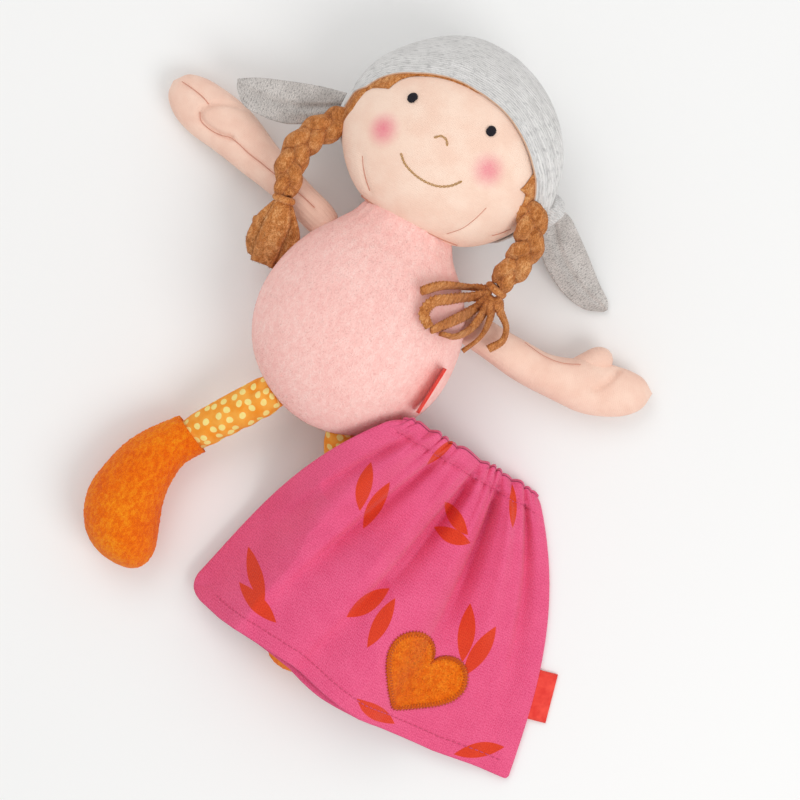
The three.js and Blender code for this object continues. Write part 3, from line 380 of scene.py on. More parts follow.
class Shape:
    """Points, faces and each face corner's place on the flat cloth, gathered into one piece."""

    def __init__(self):
        self.points, self.faces, self.places, self.tuft_normals = [], [], [], []
        self.count = 0

    def cover(self, grid, across=None, along=None, closed=False, ends=(False, False)):
        """Faces over rows of points. closed joins the last column to the first; ends close the outer rows.
        across and along are the places on the flat cloth, measured on the grid unless they are given."""
        rows, columns = grid.shape[:2]
        wide = columns + 1 if closed else columns
        if across is None:
            looped = np.concatenate([grid, grid[:, :1]], 1) if closed else grid
            steps = np.linalg.norm(np.diff(looped, axis=1), axis=2)
            across = np.concatenate([np.zeros((rows, 1)), np.cumsum(steps, 1)], 1)
            across = across - across.mean(1, keepdims=True)
        if along is None:
            steps = np.linalg.norm(np.diff(grid, axis=0), axis=2).mean(1)
            along = np.concatenate([[0], np.cumsum(steps)])
        along = np.broadcast_to(np.asarray(along, float).reshape(rows, -1), (rows, wide))
        r, c = np.meshgrid(np.arange(rows - 1), np.arange(wide - 1), indexing="ij")
        r, c = r.ravel(), c.ravel()
        n = (c + 1) % columns
        start = self.count
        self.faces += (np.stack([r * columns + c, r * columns + n, (r + 1) * columns + n,
                                 (r + 1) * columns + c], 1) + start).tolist()
        corners = [(r, c), (r, c + 1), (r + 1, c + 1), (r + 1, c)]
        self.places += np.stack([np.stack([across[i, j], along[i, j]], 1) for i, j in corners], 1).tolist()
        self.points.append(grid.reshape(-1, 3))
        self.count += rows * columns
        for row, wanted in ((0, ends[0]), (rows - 1, ends[1])):
            if wanted == "flat":
                first = start + row * columns
                for k in range(columns // 2 - 1):
                    pair = [k, k + 1, columns - 2 - k, columns - 1 - k]
                    pair = pair[::-1] if row == 0 else pair
                    self.faces.append([first + n for n in pair])
                    self.places.append([[across[row, n], along[row, n]] for n in pair])
            elif wanted:
                middle = self.count
                self.points.append(grid[row].mean(0, keepdims=True))
                self.count += 1
                for k in range(columns):
                    following = (k + 1) % columns
                    pair = (following, k) if row == 0 else (k, following)
                    self.faces.append([start + row * columns + n for n in pair] + [middle])
                    self.places.append([[across[row, k], along[row, k]]] * 3)
        return self

    def stuffed(self, rings):
        """A form closed all round and at both ends."""
        return self.cover(rings, closed=True, ends=(True, True))

    def piece(self, name, finish):
        points = np.concatenate(self.points) * MM
        mesh = bpy.data.meshes.new(name)
        mesh.from_pydata(points.tolist(), [], self.faces)
        mesh.materials.append(finish.material)
        layer = mesh.uv_layers.new(name="cloth")
        flat = np.array([corner for face in self.places for corner in face], np.float32) * MM
        layer.data.foreach_set("uv", flat.ravel())
        mesh.polygons.foreach_set("use_smooth", [True] * len(mesh.polygons))
        mesh.update()
        made = bpy.data.objects.new(name, mesh)
        bpy.context.scene.collection.objects.link(made)
        if self.tuft_normals:
            base = np.array([v.normal for v in mesh.vertices], np.float32)
            for first, normals in self.tuft_normals:
                base[first:first + len(normals)] = normals
            mesh.normals_split_custom_set_from_vertices(base.tolist())
        return made

    def tufts(self, count, length, width, seed, comb, lean):
        """Short pile on the faces made so far, combed one way. lean is its angle from upright."""
        rng = np.random.default_rng(seed)
        points = np.concatenate(self.points)
        quads = np.array([f for f in self.faces if len(f) == 4])
        a, b, c, d = (points[quads[:, k]] for k in range(4))
        normal = np.cross(c - a, d - b)
        size = np.linalg.norm(normal, axis=1)
        normal = normal / np.maximum(size, 1e-9)[:, None]
        pick = rng.choice(len(quads), count, p=size / size.sum())
        u, v = rng.random((2, count, 1))
        root = (a[pick] * (1 - u) + b[pick] * u) * (1 - v) + (d[pick] * (1 - u) + c[pick] * u) * v
        out = normal[pick]
        way = np.array(comb, float) + rng.normal(0, TUFT_DISORDER, (count, 3))
        way -= (way * out).sum(1, keepdims=True) * out
        way /= np.maximum(np.linalg.norm(way, axis=1, keepdims=True), 1e-6)
        long = length * (0.6 + 0.6 * rng.random((count, 1)))
        tip = root + out * long * math.cos(lean) + way * long * math.sin(lean)
        side = np.cross(out, way) * width / 2
        foot = root - out * TUFT_ROOT
        blades = np.stack([foot + side, foot - side, tip], 1).reshape(-1, 3)
        start = self.count
        self.points.append(blades)
        self.count += 3 * count
        corners = np.arange(3 * count).reshape(-1, 3) + start
        self.faces += corners.tolist()
        places = np.array([self.places[k][0] for k in range(len(self.faces) - count)
                           if len(self.faces[k]) == 4])[pick]
        self.places += np.repeat(places[:, None], 3, 1).tolist()
        self.tuft_normals.append((start, np.repeat(unit(out + way * TUFT_SHEEN), 3, 0)))
        return self


def curve(points, count):
    """A smooth curve through the points, in even steps."""
    p = np.asarray(points, float)
    chord = np.linalg.norm(np.diff(p, axis=0), axis=1)
    t = np.concatenate([[0], np.cumsum(np.maximum(chord, 1e-6) ** 0.75)])
    slope = np.gradient(p, t, axis=0)
    s = np.linspace(0, t[-1], count * 8)
    k = np.clip(np.searchsorted(t, s, side="right") - 1, 0, len(t) - 2)
    h = (t[k + 1] - t[k])[:, None]
    x = ((s - t[k]) / (t[k + 1] - t[k]))[:, None]
    dense = ((2 * x ** 3 - 3 * x ** 2 + 1) * p[k] + (x ** 3 - 2 * x ** 2 + x) * h * slope[k]
             + (3 * x ** 2 - 2 * x ** 3) * p[k + 1] + (x ** 3 - x ** 2) * h * slope[k + 1])
    way = travelled(dense)
    return picked(dense, way, np.linspace(0, way[-1], count))


def travelled(line):
    """The distance along a line at each of its points."""
    return np.concatenate([[0], np.cumsum(np.linalg.norm(np.diff(line, axis=0), axis=1))])


def picked(line, way, at):
    """The points of a line at some distances along it, where way is the distance at each of its own."""
    return np.stack([np.interp(at, way, line[:, n]) for n in range(line.shape[1])], 1)


def evened(values, reach):
    """Each value averaged with its neighbours."""
    return np.convolve(np.pad(values, reach, mode="edge"), np.ones(2 * reach + 1) / (2 * reach + 1), "valid")


def circle(sides):
    """Angles at even steps round a circle."""
    return np.linspace(0, 2 * math.pi, sides, endpoint=False)


def unit(vectors):
    return vectors / np.maximum(np.linalg.norm(vectors, axis=-1, keepdims=True), 1e-9)


def frames(route):
    """At each point of a route, the level way across it and the way up from it."""
    along = unit(np.gradient(route, axis=0))
    side = unit(np.stack([along[:, 1], -along[:, 0], np.zeros(len(route))], 1))
    return side, np.cross(side, along)


def tube(route, wide, deep, sides, turn=0.0, lump=1.0):
    """Rings round a route. wide and deep are the half sizes, level and upright. turn rolls them about it."""
    side, up = frames(route)
    angle = circle(sides)
    wide = np.broadcast_to(wide, (len(route),))[:, None]
    deep = np.broadcast_to(deep, (len(route),))[:, None]
    turn = np.broadcast_to(turn, (len(route),))[:, None]
    x, z = wide * np.cos(angle) * lump, deep * np.sin(angle) * lump
    x, z = x * np.cos(turn) - z * np.sin(turn), x * np.sin(turn) + z * np.cos(turn)
    return route[:, None] + x[..., None] * side[:, None] + z[..., None] * up[:, None]


PRESSED = 1.5  # height over which a form flattens out on the table


def rolling(points, size, height, seed):
    """Soft unevenness of a stuffed form, the same each time."""
    rng = np.random.default_rng(seed)
    total = np.zeros(points.shape[:-1])
    for _ in range(7):
        way = unit(rng.normal(size=3)) * (0.6 + 0.8 * rng.random())
        total += np.sin(points @ way * 2 * math.pi / size + rng.random() * 6.28)
    return total / 4 * height


def thread(shape, route, radius, sides=6):
    return shape.stuffed(tube(np.asarray(route, float), radius, radius, sides))


def seated(points, low=0.3):
    """Nothing goes below the table: what would is pressed flat."""
    points = points.copy()
    z = points[..., 2]
    pressed = low + PRESSED * np.exp((z - low - PRESSED) / PRESSED * 0.9)
    points[..., 2] = np.where(z < low + PRESSED, pressed, z)
    return points


def finished(piece, body, slot, *nodes, fill=None):
    """Hangs a piece on its body and hides the solids it stands for. slot (the cloth's name) and fill are not
    used.
    """
    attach(piece, body)
    if nodes:
        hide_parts(*nodes)
    return piece


# Belly

BODY_RISE = 40.9  # height of the belly's middle
BELLY_FLATNESS = 42 / 57  # its half height as a share of its half width
# [along the doll, half width]
BELLY_OUTLINE = [(-57, 0), (-55.6, 12), (-50.8, 25.6), (-43.3, 37), (-33.2, 46.4), (-21.3, 52.9),
                 (-8.2, 56.5), (2.5, 57.2), (14.4, 55.8), (26.3, 52.2), (38.2, 46), (50.1, 37), (58, 30.5),
                 (65, 27), (71, 23), (75, 14), (76.5, 0)]
belly_curve = curve(BELLY_OUTLINE, 90)


def belly_half(y):
    return np.interp(y, belly_curve[:, 0], belly_curve[:, 1])


def belly_top(x, y):
    half = np.maximum(belly_half(y), 1e-6)
    return BODY_RISE + half * BELLY_FLATNESS * np.sqrt(np.clip(1 - (x / half) ** 2, 0, 1))


def make_belly():
    """Two panels of pink plush over the filling, gathered a little at the neck and dented at the hips."""
    angle = circle(96)
    y, half = belly_curve[:, 0][:, None], belly_curve[:, 1][:, None]
    neck = np.clip((y - 48) / 22, 0, 1)
    x = half * np.cos(angle) + neck * -2.5
    z = BODY_RISE + half * (BELLY_FLATNESS + 0.12 * neck) * np.sin(angle)
    grid = np.stack([x, np.broadcast_to(y, x.shape), z], 2)
    out = unit(np.stack([np.cos(angle) + 0 * half, 0 * x, np.sin(angle) * 1.35 + 0 * half], 2))
    seam = np.exp(-((z - BODY_RISE) / 1.6) ** 2) * (half > 6)
    ruffle = neck * (1 - neck) * 4 * np.sin(angle * 17 + np.sin(angle * 5) * 2) * 0.35
    grid = grid + out * (rolling(grid, 60, 0.8, 3) - seam * 1.1 + ruffle)[..., None]
    for hip in HIPS.values():
        far = np.linalg.norm(grid - np.array(hip), axis=2)
        grid = grid + out * (-1.6 * np.exp(-(far / 14) ** 2))[..., None]
    shape = Shape().stuffed(seated(grid))
    shape.tufts(30000, 0.8, 0.26, 11, comb=(0.25, -1, 0), lean=1.1)
    return finished(shape.piece("belly_cover", PINK_PLUSH), "torso", "pink_plush",
                    "body_front_panel", "body_back_panel", "body_filling", fill=0.85)


# Head

HEAD_MIDDLE = np.array([-2.5, 110.0, 45.3])
# [along the doll, half width]
HEAD_OUTLINE = [(62.5, 0), (62.8, 10), (63.6, 19), (65.2, 26), (68, 33), (73, 40.5), (80, 47.3), (88, 52.9),
                (97, 57), (106, 58.2), (117, 57.2), (130, 53.8), (142, 47.4), (153, 37.6), (162, 25),
                (167, 12.5), (168.4, 0)]
HEAD_SHARE = 41 / 58  # the head's half height as a share of its half width
HEAD_RADIUS = 58
head_curve = curve(HEAD_OUTLINE, 120)


def head_half(y):
    return np.interp(y, head_curve[:, 0], head_curve[:, 1], left=0, right=0)


def on_head(ways, proud):
    """Where rays from the middle of the head leave it, moved out by proud."""
    ways = unit(np.asarray(ways, float))
    low, high = np.zeros(ways.shape[:-1]), np.full(ways.shape[:-1], 95.0)
    for _ in range(26):
        far = (low + high) / 2
        p = ways * far[..., None]
        inside = p[..., 0] ** 2 + (p[..., 2] / HEAD_SHARE) ** 2 < head_half(p[..., 1] + HEAD_MIDDLE[1]) ** 2
        low, high = np.where(inside, far, low), np.where(inside, high, far)
    p = ways * low[..., None]
    y = p[..., 1] + HEAD_MIDDLE[1]
    slope = (head_half(y + 1) ** 2 - head_half(y - 1) ** 2) / 2
    normal = unit(np.stack([2 * p[..., 0], -slope, 2 * p[..., 2] / HEAD_SHARE ** 2], -1))
    return HEAD_MIDDLE + p + normal * np.asarray(proud)[..., None], normal


def face_places(places, proud=0.0):
    """Points of the face that the camera sees at these places of the arms' level, and the ways out of it."""
    seen = np.asarray(places, float)
    middle = np.array(CAMERA_OVER)
    flat = seen
    for _ in range(4):
        half = head_half(flat[:, 1])
        rise = HEAD_SHARE * np.sqrt(np.clip(half ** 2 - (flat[:, 0] - HEAD_MIDDLE[0]) ** 2, 0, None))
        height = (HEAD_MIDDLE[2] + rise)[:, None]
        flat = middle + (seen - middle) * (1 - (height - ARM_HEIGHT) / CAMERA_ABOVE)
    return on_head(np.concatenate([flat, height], 1) - HEAD_MIDDLE, proud)


# Three short seams of the face, two from the chin and one at its side
DARTS = [[(-43.1, 86.7), (-39.7, 81.3), (-34.9, 75.6), (-30.5, 71.5)],
         [(31, 93.5), (28.5, 85.5), (24.6, 77.3), (18.5, 70.5)],
         [(41.1, 81.3), (45, 85), (48.5, 89.4)]]


def make_head():
    """Peach jersey over the filling, drawn in a little along the darts and the side seam."""
    angle = circle(150)
    y, half = head_curve[:, 0][:, None], head_curve[:, 1][:, None]
    x = HEAD_MIDDLE[0] + half * np.cos(angle)
    z = HEAD_MIDDLE[2] + half * HEAD_SHARE * np.sin(angle)
    grid = np.stack([x, np.broadcast_to(y, x.shape), z], 2)
    out = unit(grid - HEAD_MIDDLE)
    pressed = rolling(grid, 90, 0.5, 5)
    for dart in DARTS:
        line = face_places(curve(dart, 40))[0]
        far = np.linalg.norm(grid[:, :, None] - line[None, None], axis=3).min(2)
        pressed = pressed - 0.9 * np.exp(-(far / 2.2) ** 2)
    seam = np.exp(-((z - HEAD_MIDDLE[2]) / 1.5) ** 2) * (half > 8)
    grid = grid + out * (pressed - seam * 0.7)[..., None]
    shape = Shape().stuffed(seated(grid))
    return finished(shape.piece("head_cover", FACE_JERSEY), "head", "peach_jersey",
                    "face_panel", "head_back_panel", "head_filling", fill=0.9)


def make_darts():
    """Thin seam lines along the face's darts."""
    shape = Shape()
    for dart in DARTS:
        thread(shape, face_places(curve(dart, 30), -0.5)[0], 0.22)
    return finished(shape.piece("face_darts", SEAM_THREAD), "head", "peach_jersey")


NECK_LINE = [(-33, 67.5), (-26, 66.4), (-18, 66.3), (-9, 66.4), (0, 66.6), (10, 66.8), (18, 67.2), (26, 68.2)]


def make_neck_seam():
    route, _ = face_places(curve(NECK_LINE, 60), 0.15)
    return finished(thread(Shape(), route, 0.45).piece("neck_seam", SEAM_THREAD), "head", "peach_jersey")


EYE_HALF_WIDTH, EYE_HALF_HEIGHT = 2.5, 2.95


def make_eye(name, middle, node):
    """Satin stitches side by side in a small oval."""
    point, normal = (value[0] for value in face_places([middle], 0.45))
    across = unit(np.cross(normal, (0.28, 1, 0)))
    up = np.cross(across, normal) * -1
    shape = Shape()
    for share in np.linspace(-0.86, 0.86, 9):
        half = EYE_HALF_HEIGHT * math.sqrt(1 - share ** 2)
        t = np.linspace(-1, 1, 9)[:, None]
        route = point + across * share * EYE_HALF_WIDTH + up * half * t + normal * (0.55 * (1 - t ** 2) + 0.1)
        thread(shape, route, 0.42)
    return finished(shape.piece(name, BLACK_THREAD), "head", "black_thread", node)


NOSE_LINE = [(-12.6, 114.4), (-9.4, 116.9), (-6, 116.2), (-4.2, 113.6)]
MOUTH_LINE = [(-24.6, 98.2), (-20.6, 94.6), (-14, 91.9), (-6, 90.8), (2, 92), (8, 95.6), (12, 100.4)]


def chain(name, places, loops, node):
    """A row of chain stitches on the face."""
    steps = 10  # points of the line to each loop
    line, normal = face_places(curve(places, loops * steps + 1), 0.35)
    along = unit(np.gradient(line, axis=0))
    side = np.cross(normal, along)
    shape = Shape()
    for k in range(loops):
        t = np.linspace(0, 1, 9)
        at = np.clip(np.round(k * steps - 1 + t * (steps + 1.5)).astype(int), 0, len(line) - 1)
        rise = (-0.1 + 0.3 * np.sin(math.pi * t))[:, None]
        for way in (-1, 1):
            swell = np.sin(math.pi * t ** 0.8)[:, None] * 0.42 * way
            thread(shape, line[at] + side[at] * swell + normal[at] * rise, 0.24)
    return finished(shape.piece(name, GOLD_THREAD), "head", "gold_thread", node)


# Lower edge of the hair, and the scarf's edge all round. A place with two numbers is one that the camera
# sees on the head, and one with three has its height too.
HAIRLINE = [(-60, 97), (-60.2, 101), (-59.2, 107), (-59, 112), (-57.6, 119), (-55.2, 122.4), (-52, 124.2),
            (-47.1, 126.3), (-46, 129.6), (-43.6, 134), (-40, 137.6), (-32.9, 141.6), (-26.1, 144.4),
            (-15.6, 146.6), (-4.2, 147), (3, 147.5), (12, 146.5), (22, 142.5), (31, 137), (38, 130.5),
            (44.5, 122.5), (43.4, 114), (42.3, 111.2), (46.3, 110.2), (47.2, 105.8), (46.6, 98)]
SCARF_EDGE = [(-66.5, 97, 47), (-64.5, 104.4, 48), (-60.6, 113, 51), (-57.2, 121), (-53, 128.5), (-46.5, 135),
              (-37, 140.4), (-26, 145), (-15, 147.4), (-4.4, 147.3), (5.4, 146.3), (16.1, 143.6), (26, 138.6),
              (34.3, 132.6), (41, 126), (46, 120), (49.3, 113.6), (51.2, 107), (54.5, 101.5, 55),
              (57, 97.5, 44), (56.5, 89, 38), (49, 78, 34), (36, 69, 22), (0, 68, 8), (-32, 70, 13),
              (-52, 79, 24), (-61, 88, 36), (-65.5, 93.5, 43)]
FACING = unit(np.array([-0.04, -0.32, 0.95]))
FACE_UP = unit(np.array([0, 1, 0]) - FACING * FACING[1])
FACE_SIDE = np.cross(FACE_UP, FACING)


def face_angles(points):
    """Round the face from the top of the head, and out from the middle of the face."""
    ways = unit(np.asarray(points, float) - HEAD_MIDDLE)
    return np.arctan2(ways @ FACE_SIDE, ways @ FACE_UP), np.arccos(np.clip(ways @ FACING, -1, 1))


def face_ways(around, out):
    """The ways from the middle of the head that have these angles."""
    level = np.cos(around)[..., None] * FACE_UP + np.sin(around)[..., None] * FACE_SIDE
    return np.sin(out)[..., None] * level + np.cos(out)[..., None] * FACING


def edge_table(places, wrap):
    """How far out from the face's middle an edge lies, by the angle round the face."""
    points = [place if len(place) == 3 else face_places([place])[0][0] for place in places]
    around, out = face_angles(points)
    order = np.argsort(around)
    around, out = around[order], out[order]
    if wrap:
        around = np.concatenate([around - 2 * math.pi, around, around + 2 * math.pi])
        out = np.tile(out, 3)
    return around, out


scarf_table = edge_table(SCARF_EDGE, True)
hair_table = edge_table(HAIRLINE, False)


def scarf_edge(around):
    return np.interp(around, *scarf_table)


def make_hair():
    """The strip of plush hair that shows below the scarf."""
    around = np.linspace(hair_table[0][0] + 0.01, hair_table[0][-1] - 0.01, 300)
    inner = np.interp(around, *hair_table)
    outer = scarf_edge(around) + 0.16
    inner = np.minimum(inner, outer - 0.04)
    t = np.linspace(0, 1, 16)[:, None]
    out = inner + (outer - inner) * t
    rounded = np.clip(t * (outer - inner) * HEAD_RADIUS / 2.2, 0, 1) ** 0.5
    proud = 0.2 + 1.5 * rounded - 0.6 * np.clip(t * 3 - 2, 0, 1)
    points, _ = on_head(face_ways(around + 0 * t, out), proud + 0 * out)
    shape = Shape().cover(points[::-1])
    shape.tufts(1500, 1.3, 0.3, 21, comb=(-0.3, -1, 0), lean=0.9)
    return finished(shape.piece("hair_strip", BROWN_PLUSH), "head", "brown_plush", "hair_fringe")


SCARF_RADIUS = 56
SCARF_CLOTH = 1.0  # thickness


def make_scarf():
    """Jersey stretched over the head from its front edge to the back, drawn into folds towards the knot."""
    columns, rows = 320, 84
    around = circle(columns) - math.pi
    edge = scarf_edge(around)
    t = np.linspace(0, 1, rows)[:, None] ** 1.25
    out = edge + (math.pi - 0.02 - edge) * t
    inward = (out - edge) * 60  # millimetres from the front edge, near enough
    knot = np.clip((around - 0.1) / 1.5, 0, 1) * np.clip((2.35 - around) / 0.35, 0, 1)
    spacing = 11.5 - 5.0 * knot
    wave = np.abs(np.sin(inward / spacing * math.pi - 0.8 + 0.6 * np.sin(around * 2.1))) ** 0.7 - 0.55
    folds = wave * 4.0 * knot * np.clip(inward / 5, 0, 1) * np.clip((70 - inward) / 20, 0, 1)
    soft = np.sin(around * 5 + inward / 14) * 0.35 * np.clip(inward / 12, 0, 1)
    hem = np.exp(-((inward - 6.5) / 1.1) ** 2) * 0.3
    proud = 1.8 + 1.6 * np.clip(inward / 11, 0, 1) + folds + soft - hem
    points, _ = on_head(face_ways(around + 0 * t, out), proud)
    grid = seated(points, 0.25)
    arc = (around + 0 * t) * SCARF_RADIUS
    across = np.concatenate([arc, arc[:, :1] + 2 * math.pi * SCARF_RADIUS], 1)
    shape = Shape().cover(grid, across=across, along=np.concatenate([inward, inward[:, :1]], 1), closed=True)
    piece = shape.piece("headscarf_cloth", SCARF_JERSEY)
    thick = piece.modifiers.new("cloth", "SOLIDIFY")
    thick.thickness, thick.offset = SCARF_CLOTH * MM, 1
    finished(piece, "head", "grey_jersey", "headscarf")
    return piece


def make_piping():
    """The scarf's turned edge along the hair."""
    around = np.linspace(-1.78, 1.95, 260)
    route, _ = on_head(face_ways(around, scarf_edge(around) - 0.002), np.full(len(around), 1.9))
    shape = thread(Shape(), route, 0.45, 8)
    return finished(shape.piece("scarf_piping", PIPING), "head", "grey_jersey")


def make_knot():
    """The scarf's two ends crossed and drawn tight."""
    middle = np.array([61.5, 108.0, 36.2])
    half_width, half_length, half_height = 7.6, 9.5, 7.4
    t = np.linspace(-1, 1, 46)[:, None]
    angle = circle(64)
    swell = np.sqrt(np.clip(1 - t ** 2, 0, 1))
    crease = 1 + 0.11 * np.sin(angle * 5 + t * 3.2) + 0.05 * np.sin(angle * 11 - t * 4)
    x = half_width * swell * np.cos(angle) * crease
    z = half_height * swell * np.sin(angle) * crease
    y = half_length * t + 0 * angle
    grid = middle + np.stack([x, y, z], 2)
    shape = Shape().cover(grid, closed=True)
    return finished(shape.piece("scarf_knot_cloth", SCARF_JERSEY), "head", "grey_jersey", "scarf_knot")


# [upper edge, lower edge], from the root to the tip
TAIL_EDGES = {
    "left": [[(-66, 113), (-80, 109.6), (-99.5, 102.9), (-114, 97), (-122.6, 91.8)],
             [(-66, 97), (-74, 90.4), (-87.4, 82.6), (-101, 80), (-113, 80.6), (-120.6, 87)]],
    "right": [[(66, 112), (74, 110.6), (80, 107), (93.3, 97.5), (106.3, 87), (115, 80.6), (117, 76.6)],
              [(63.5, 103), (64, 95), (70, 85.4), (82, 77), (94.6, 72), (106, 71), (115.6, 74.6)]],
}


def make_tail(name, upper, lower, rise, body, node, crease, seed):
    """A pointed end of the scarf between two edges: two layers of jersey with a crease along the middle.
    rise has the heights of its root and its tip."""
    rows, columns = 60, 30
    up, low = curve(upper, rows), curve(lower, rows)
    t = np.linspace(0, 1, columns)
    s = np.linspace(0, 1, rows)[:, None]
    flat = up[:, None] * (1 - t)[None, :, None] + low[:, None] * t[None, :, None]
    height = rise[1] + (rise[0] - rise[1]) * (1 - s) ** 2
    bulge = np.sin(math.pi * t) ** 0.7
    valley = -crease * np.exp(-((t - 0.5 - 0.08 * np.sin(s * 4)) / 0.09) ** 2) * np.clip(1.2 - s, 0, 1)
    wavy = 0.5 * np.sin(t * 7 + s * 5 + seed) * bulge
    shape = Shape()
    top = np.concatenate([flat, (height + 0.9 + 1.3 * bulge + valley + wavy)[..., None]], 2)
    under = np.concatenate([flat, (height - 0.5 - 0.8 * bulge + wavy * 0.5)[..., None]], 2)
    loop = np.concatenate([top, under[:, ::-1]], 1)
    shape.cover(loop[:, ::-1], closed=True, ends=FLAT_ENDS)
    return finished(shape.piece(name, TAIL_JERSEY), body, "grey_jersey", node)


# Arms

SHOULDERS = {"left": (-46.5, 45.5, 30), "right": (51.5, 31.5, 30)}
# [share of the length, half width, half depth, shift towards the thumb]
ARM_SWELL = {
    "left": [(-0.09, 0, 0, 0), (-0.085, 4, 4, 0), (-0.05, 7.6, 7.6, 0), (0, 9, 9.2, 0), (0.15, 9.4, 9.6, 0),
             (0.3, 10.4, 9.8, 0), (0.45, 11.8, 10, 0), (0.58, 13.6, 10.4, 0), (0.7, 15.2, 10.6, -0.6),
             (0.82, 15.6, 10.4, -1.6), (0.95, 13, 9, -2.6), (1.03, 8, 5.8, -3), (1.065, 0, 0, -3)],
    "right": [(-0.09, 0, 0, 0), (-0.085, 4, 4, 0), (-0.05, 7.6, 7.6, 0), (0, 9.2, 9.2, 0), (0.15, 10, 9.6, 0),
              (0.3, 10.5, 9.8, 0), (0.45, 11, 10, 0), (0.58, 12.8, 10.4, 0.4), (0.7, 15, 10.6, 0.4),
              (0.82, 14.6, 10.4, 0), (0.93, 12.4, 9, 0.6), (1.0, 8.4, 6.4, 1.2), (1.05, 0, 0, 1.6)],
}
ARM_LENGTH = 108
ARM_WAYS = {"left": (163, 163), "right": (-3, 11)}  # degrees, of the upper arm and the lower arm
HAND_SHIFTS = {"left": (0, 0), "right": (5.5, 2.5)}  # how far the wrist and then the fingertips bend upward
ELBOW_HEIGHT, WRIST_HEIGHT = 20, 10.2


def arm_route(side):
    """The middle line of an arm, from inside the belly to past the hand, and the ways of its two halves."""
    root = np.array(SHOULDERS[side], float)
    wrist_shift, tip_shift = HAND_SHIFTS[side]
    ways = [np.array([math.cos(math.radians(a)), math.sin(math.radians(a)), 0]) for a in ARM_WAYS[side]]
    elbow = root + ways[0] * ARM_LENGTH / 2
    elbow[2] = ELBOW_HEIGHT
    wrist = elbow + ways[1] * ARM_LENGTH / 2
    wrist[2] = WRIST_HEIGHT
    wrist[1] += wrist_shift
    before = root - ways[0] * 12 + np.array([0, 0, 1.5])
    after = wrist + ways[1] * 10 + np.array([0, tip_shift, 0])
    return np.array([before, root, elbow, wrist, after]), ways


def make_arm(side):
    """Peach jersey over the filling, creased round the thumb and finely ribbed near the shoulder."""
    route, ways = arm_route(side)
    swell = curve([(s * ARM_LENGTH, w, d, h) for s, w, d, h in ARM_SWELL[side]], 96)
    dense = curve(route, 500)
    way = travelled(dense)
    start = way[np.argmin(np.linalg.norm(dense - route[1], axis=1))]
    line = picked(dense, way, start + swell[:, 0])
    towards_thumb = np.array([-ways[0][1], ways[0][0], 0]) * (1 if side == "right" else -1)
    line = line + towards_thumb * swell[:, 3:4]
    sides = 72
    rings = tube(line, swell[:, 1], swell[:, 2], sides)
    out = unit(rings - line[:, None])
    ribs = 0.16 * np.sin(circle(sides) * 22) * np.clip(1 - swell[:, :1] / 40, 0, 1)
    rings = rings + out * (rolling(rings, 34, 0.5, 7) + ribs)[..., None]
    for places, deep in ARM_CREASES[side]:
        crease = curve(places, 80)
        far = np.linalg.norm(rings[:, :, None, :2] - crease[None, None], axis=3).min(2)
        rings = rings - out * (deep * np.exp(-(far / 1.7) ** 2) * np.clip(out[..., 2] * 3, 0, 1))[..., None]
    rings = seated(rings)
    shape = Shape().stuffed(rings)
    if side in THUMBS:
        base, tip, width = THUMBS[side]
        thumb = curve([base, [(b + t) / 2 for b, t in zip(base, tip)], tip], 40)
        s = np.linspace(0, 1, 40)
        plump = width * np.sqrt(np.clip(1 - np.clip((s - 0.6) / 0.4, 0, 1) ** 2, 0, 1)) * (0.86 + 0.14 * s)
        shape.stuffed(seated(tube(thumb, plump + 0.01, plump * 0.95 + 0.01, 48)))
    return finished(shape.piece(f"{side}_arm_cover", ARM_JERSEY), f"{side}_arm", "peach_jersey",
                    f"{side}_arm_skin", f"{side}_arm_filling", fill=0.75)


# The right thumb stands out from the hand: [root, tip, half width]. The left one lies flat, inside a crease.
THUMBS = {"right": ((115, 35, 13.5), (130, 55.5, 15.5), 8.2)}
LEFT_THUMB = [(-114.9, 80.6), (-123.3, 77.7), (-130.1, 72.9), (-133.4, 66.7), (-130.9, 62.8), (-124.2, 60.6),
              (-116.1, 60.6), (-111.5, 61.7)]
LEFT_SEAM = [(-111.5, 61.7), (-104.9, 60.5), (-98.8, 58.8), (-89, 57), (-80.1, 55.1), (-71, 53.5),
             (-61, 51.5), (-52, 49)]
LEFT_HAND = [(-150.5, 77), (-143.6, 76.2), (-136, 74.6), (-131, 72.6)]
ARM_SEAMS = {
    "left": [LEFT_THUMB[3:] + LEFT_SEAM[1:], LEFT_HAND],
    "right": [[(84, 38), (98, 36.5), (108, 38), (117, 42)]],
}
# [places, depth]
ARM_CREASES = {
    "left": [(LEFT_THUMB, 2.2), (LEFT_SEAM, 1.0), (LEFT_HAND, 0.9)],
    "right": [([(137, 50), (136, 44), (133.5, 38), (130, 33)], 2.0)],
}


def make_arm_seams(side):
    """The sewn lines along the arm and the hand."""
    shape = Shape()
    cover = bpy.data.objects[f"{side}_arm_cover"]
    points = np.array([v.co for v in cover.data.vertices]) / MM
    for places in ARM_SEAMS[side]:
        flat = curve(places, 60)
        far = np.hypot(points[None, :, 0] - flat[:, :1], points[None, :, 1] - flat[:, 1:])
        height = np.where(far < 2.2, points[None, :, 2], -1).max(1)
        thread(shape, np.concatenate([flat, evened(height, 4)[:, None] - 0.1], 1), 0.24)
    return finished(shape.piece(f"{side}_arm_seam", SEAM_THREAD), f"{side}_arm", "peach_jersey")


# Legs and boots

HIPS = {"left": (-26.5, -56, 33), "right": (21.5, -56, 33)}
ANKLES = {"left": (-51.0, -93.7, 19.5), "right": (42.6, -95.7, 19.5)}
# How far the leg's tube lies beside the line from hip to ankle: [at the hip, at the ankle]
LEG_SHIFTS = {"left": [(-1.2, 1.6, 0), (-2.4, 1.8, 0)], "right": [(0, 0, 0), (0, 0, 0)]}
PLEATS = {"left": 1.05, "right": 2.3}  # where the pleat lies round the tube


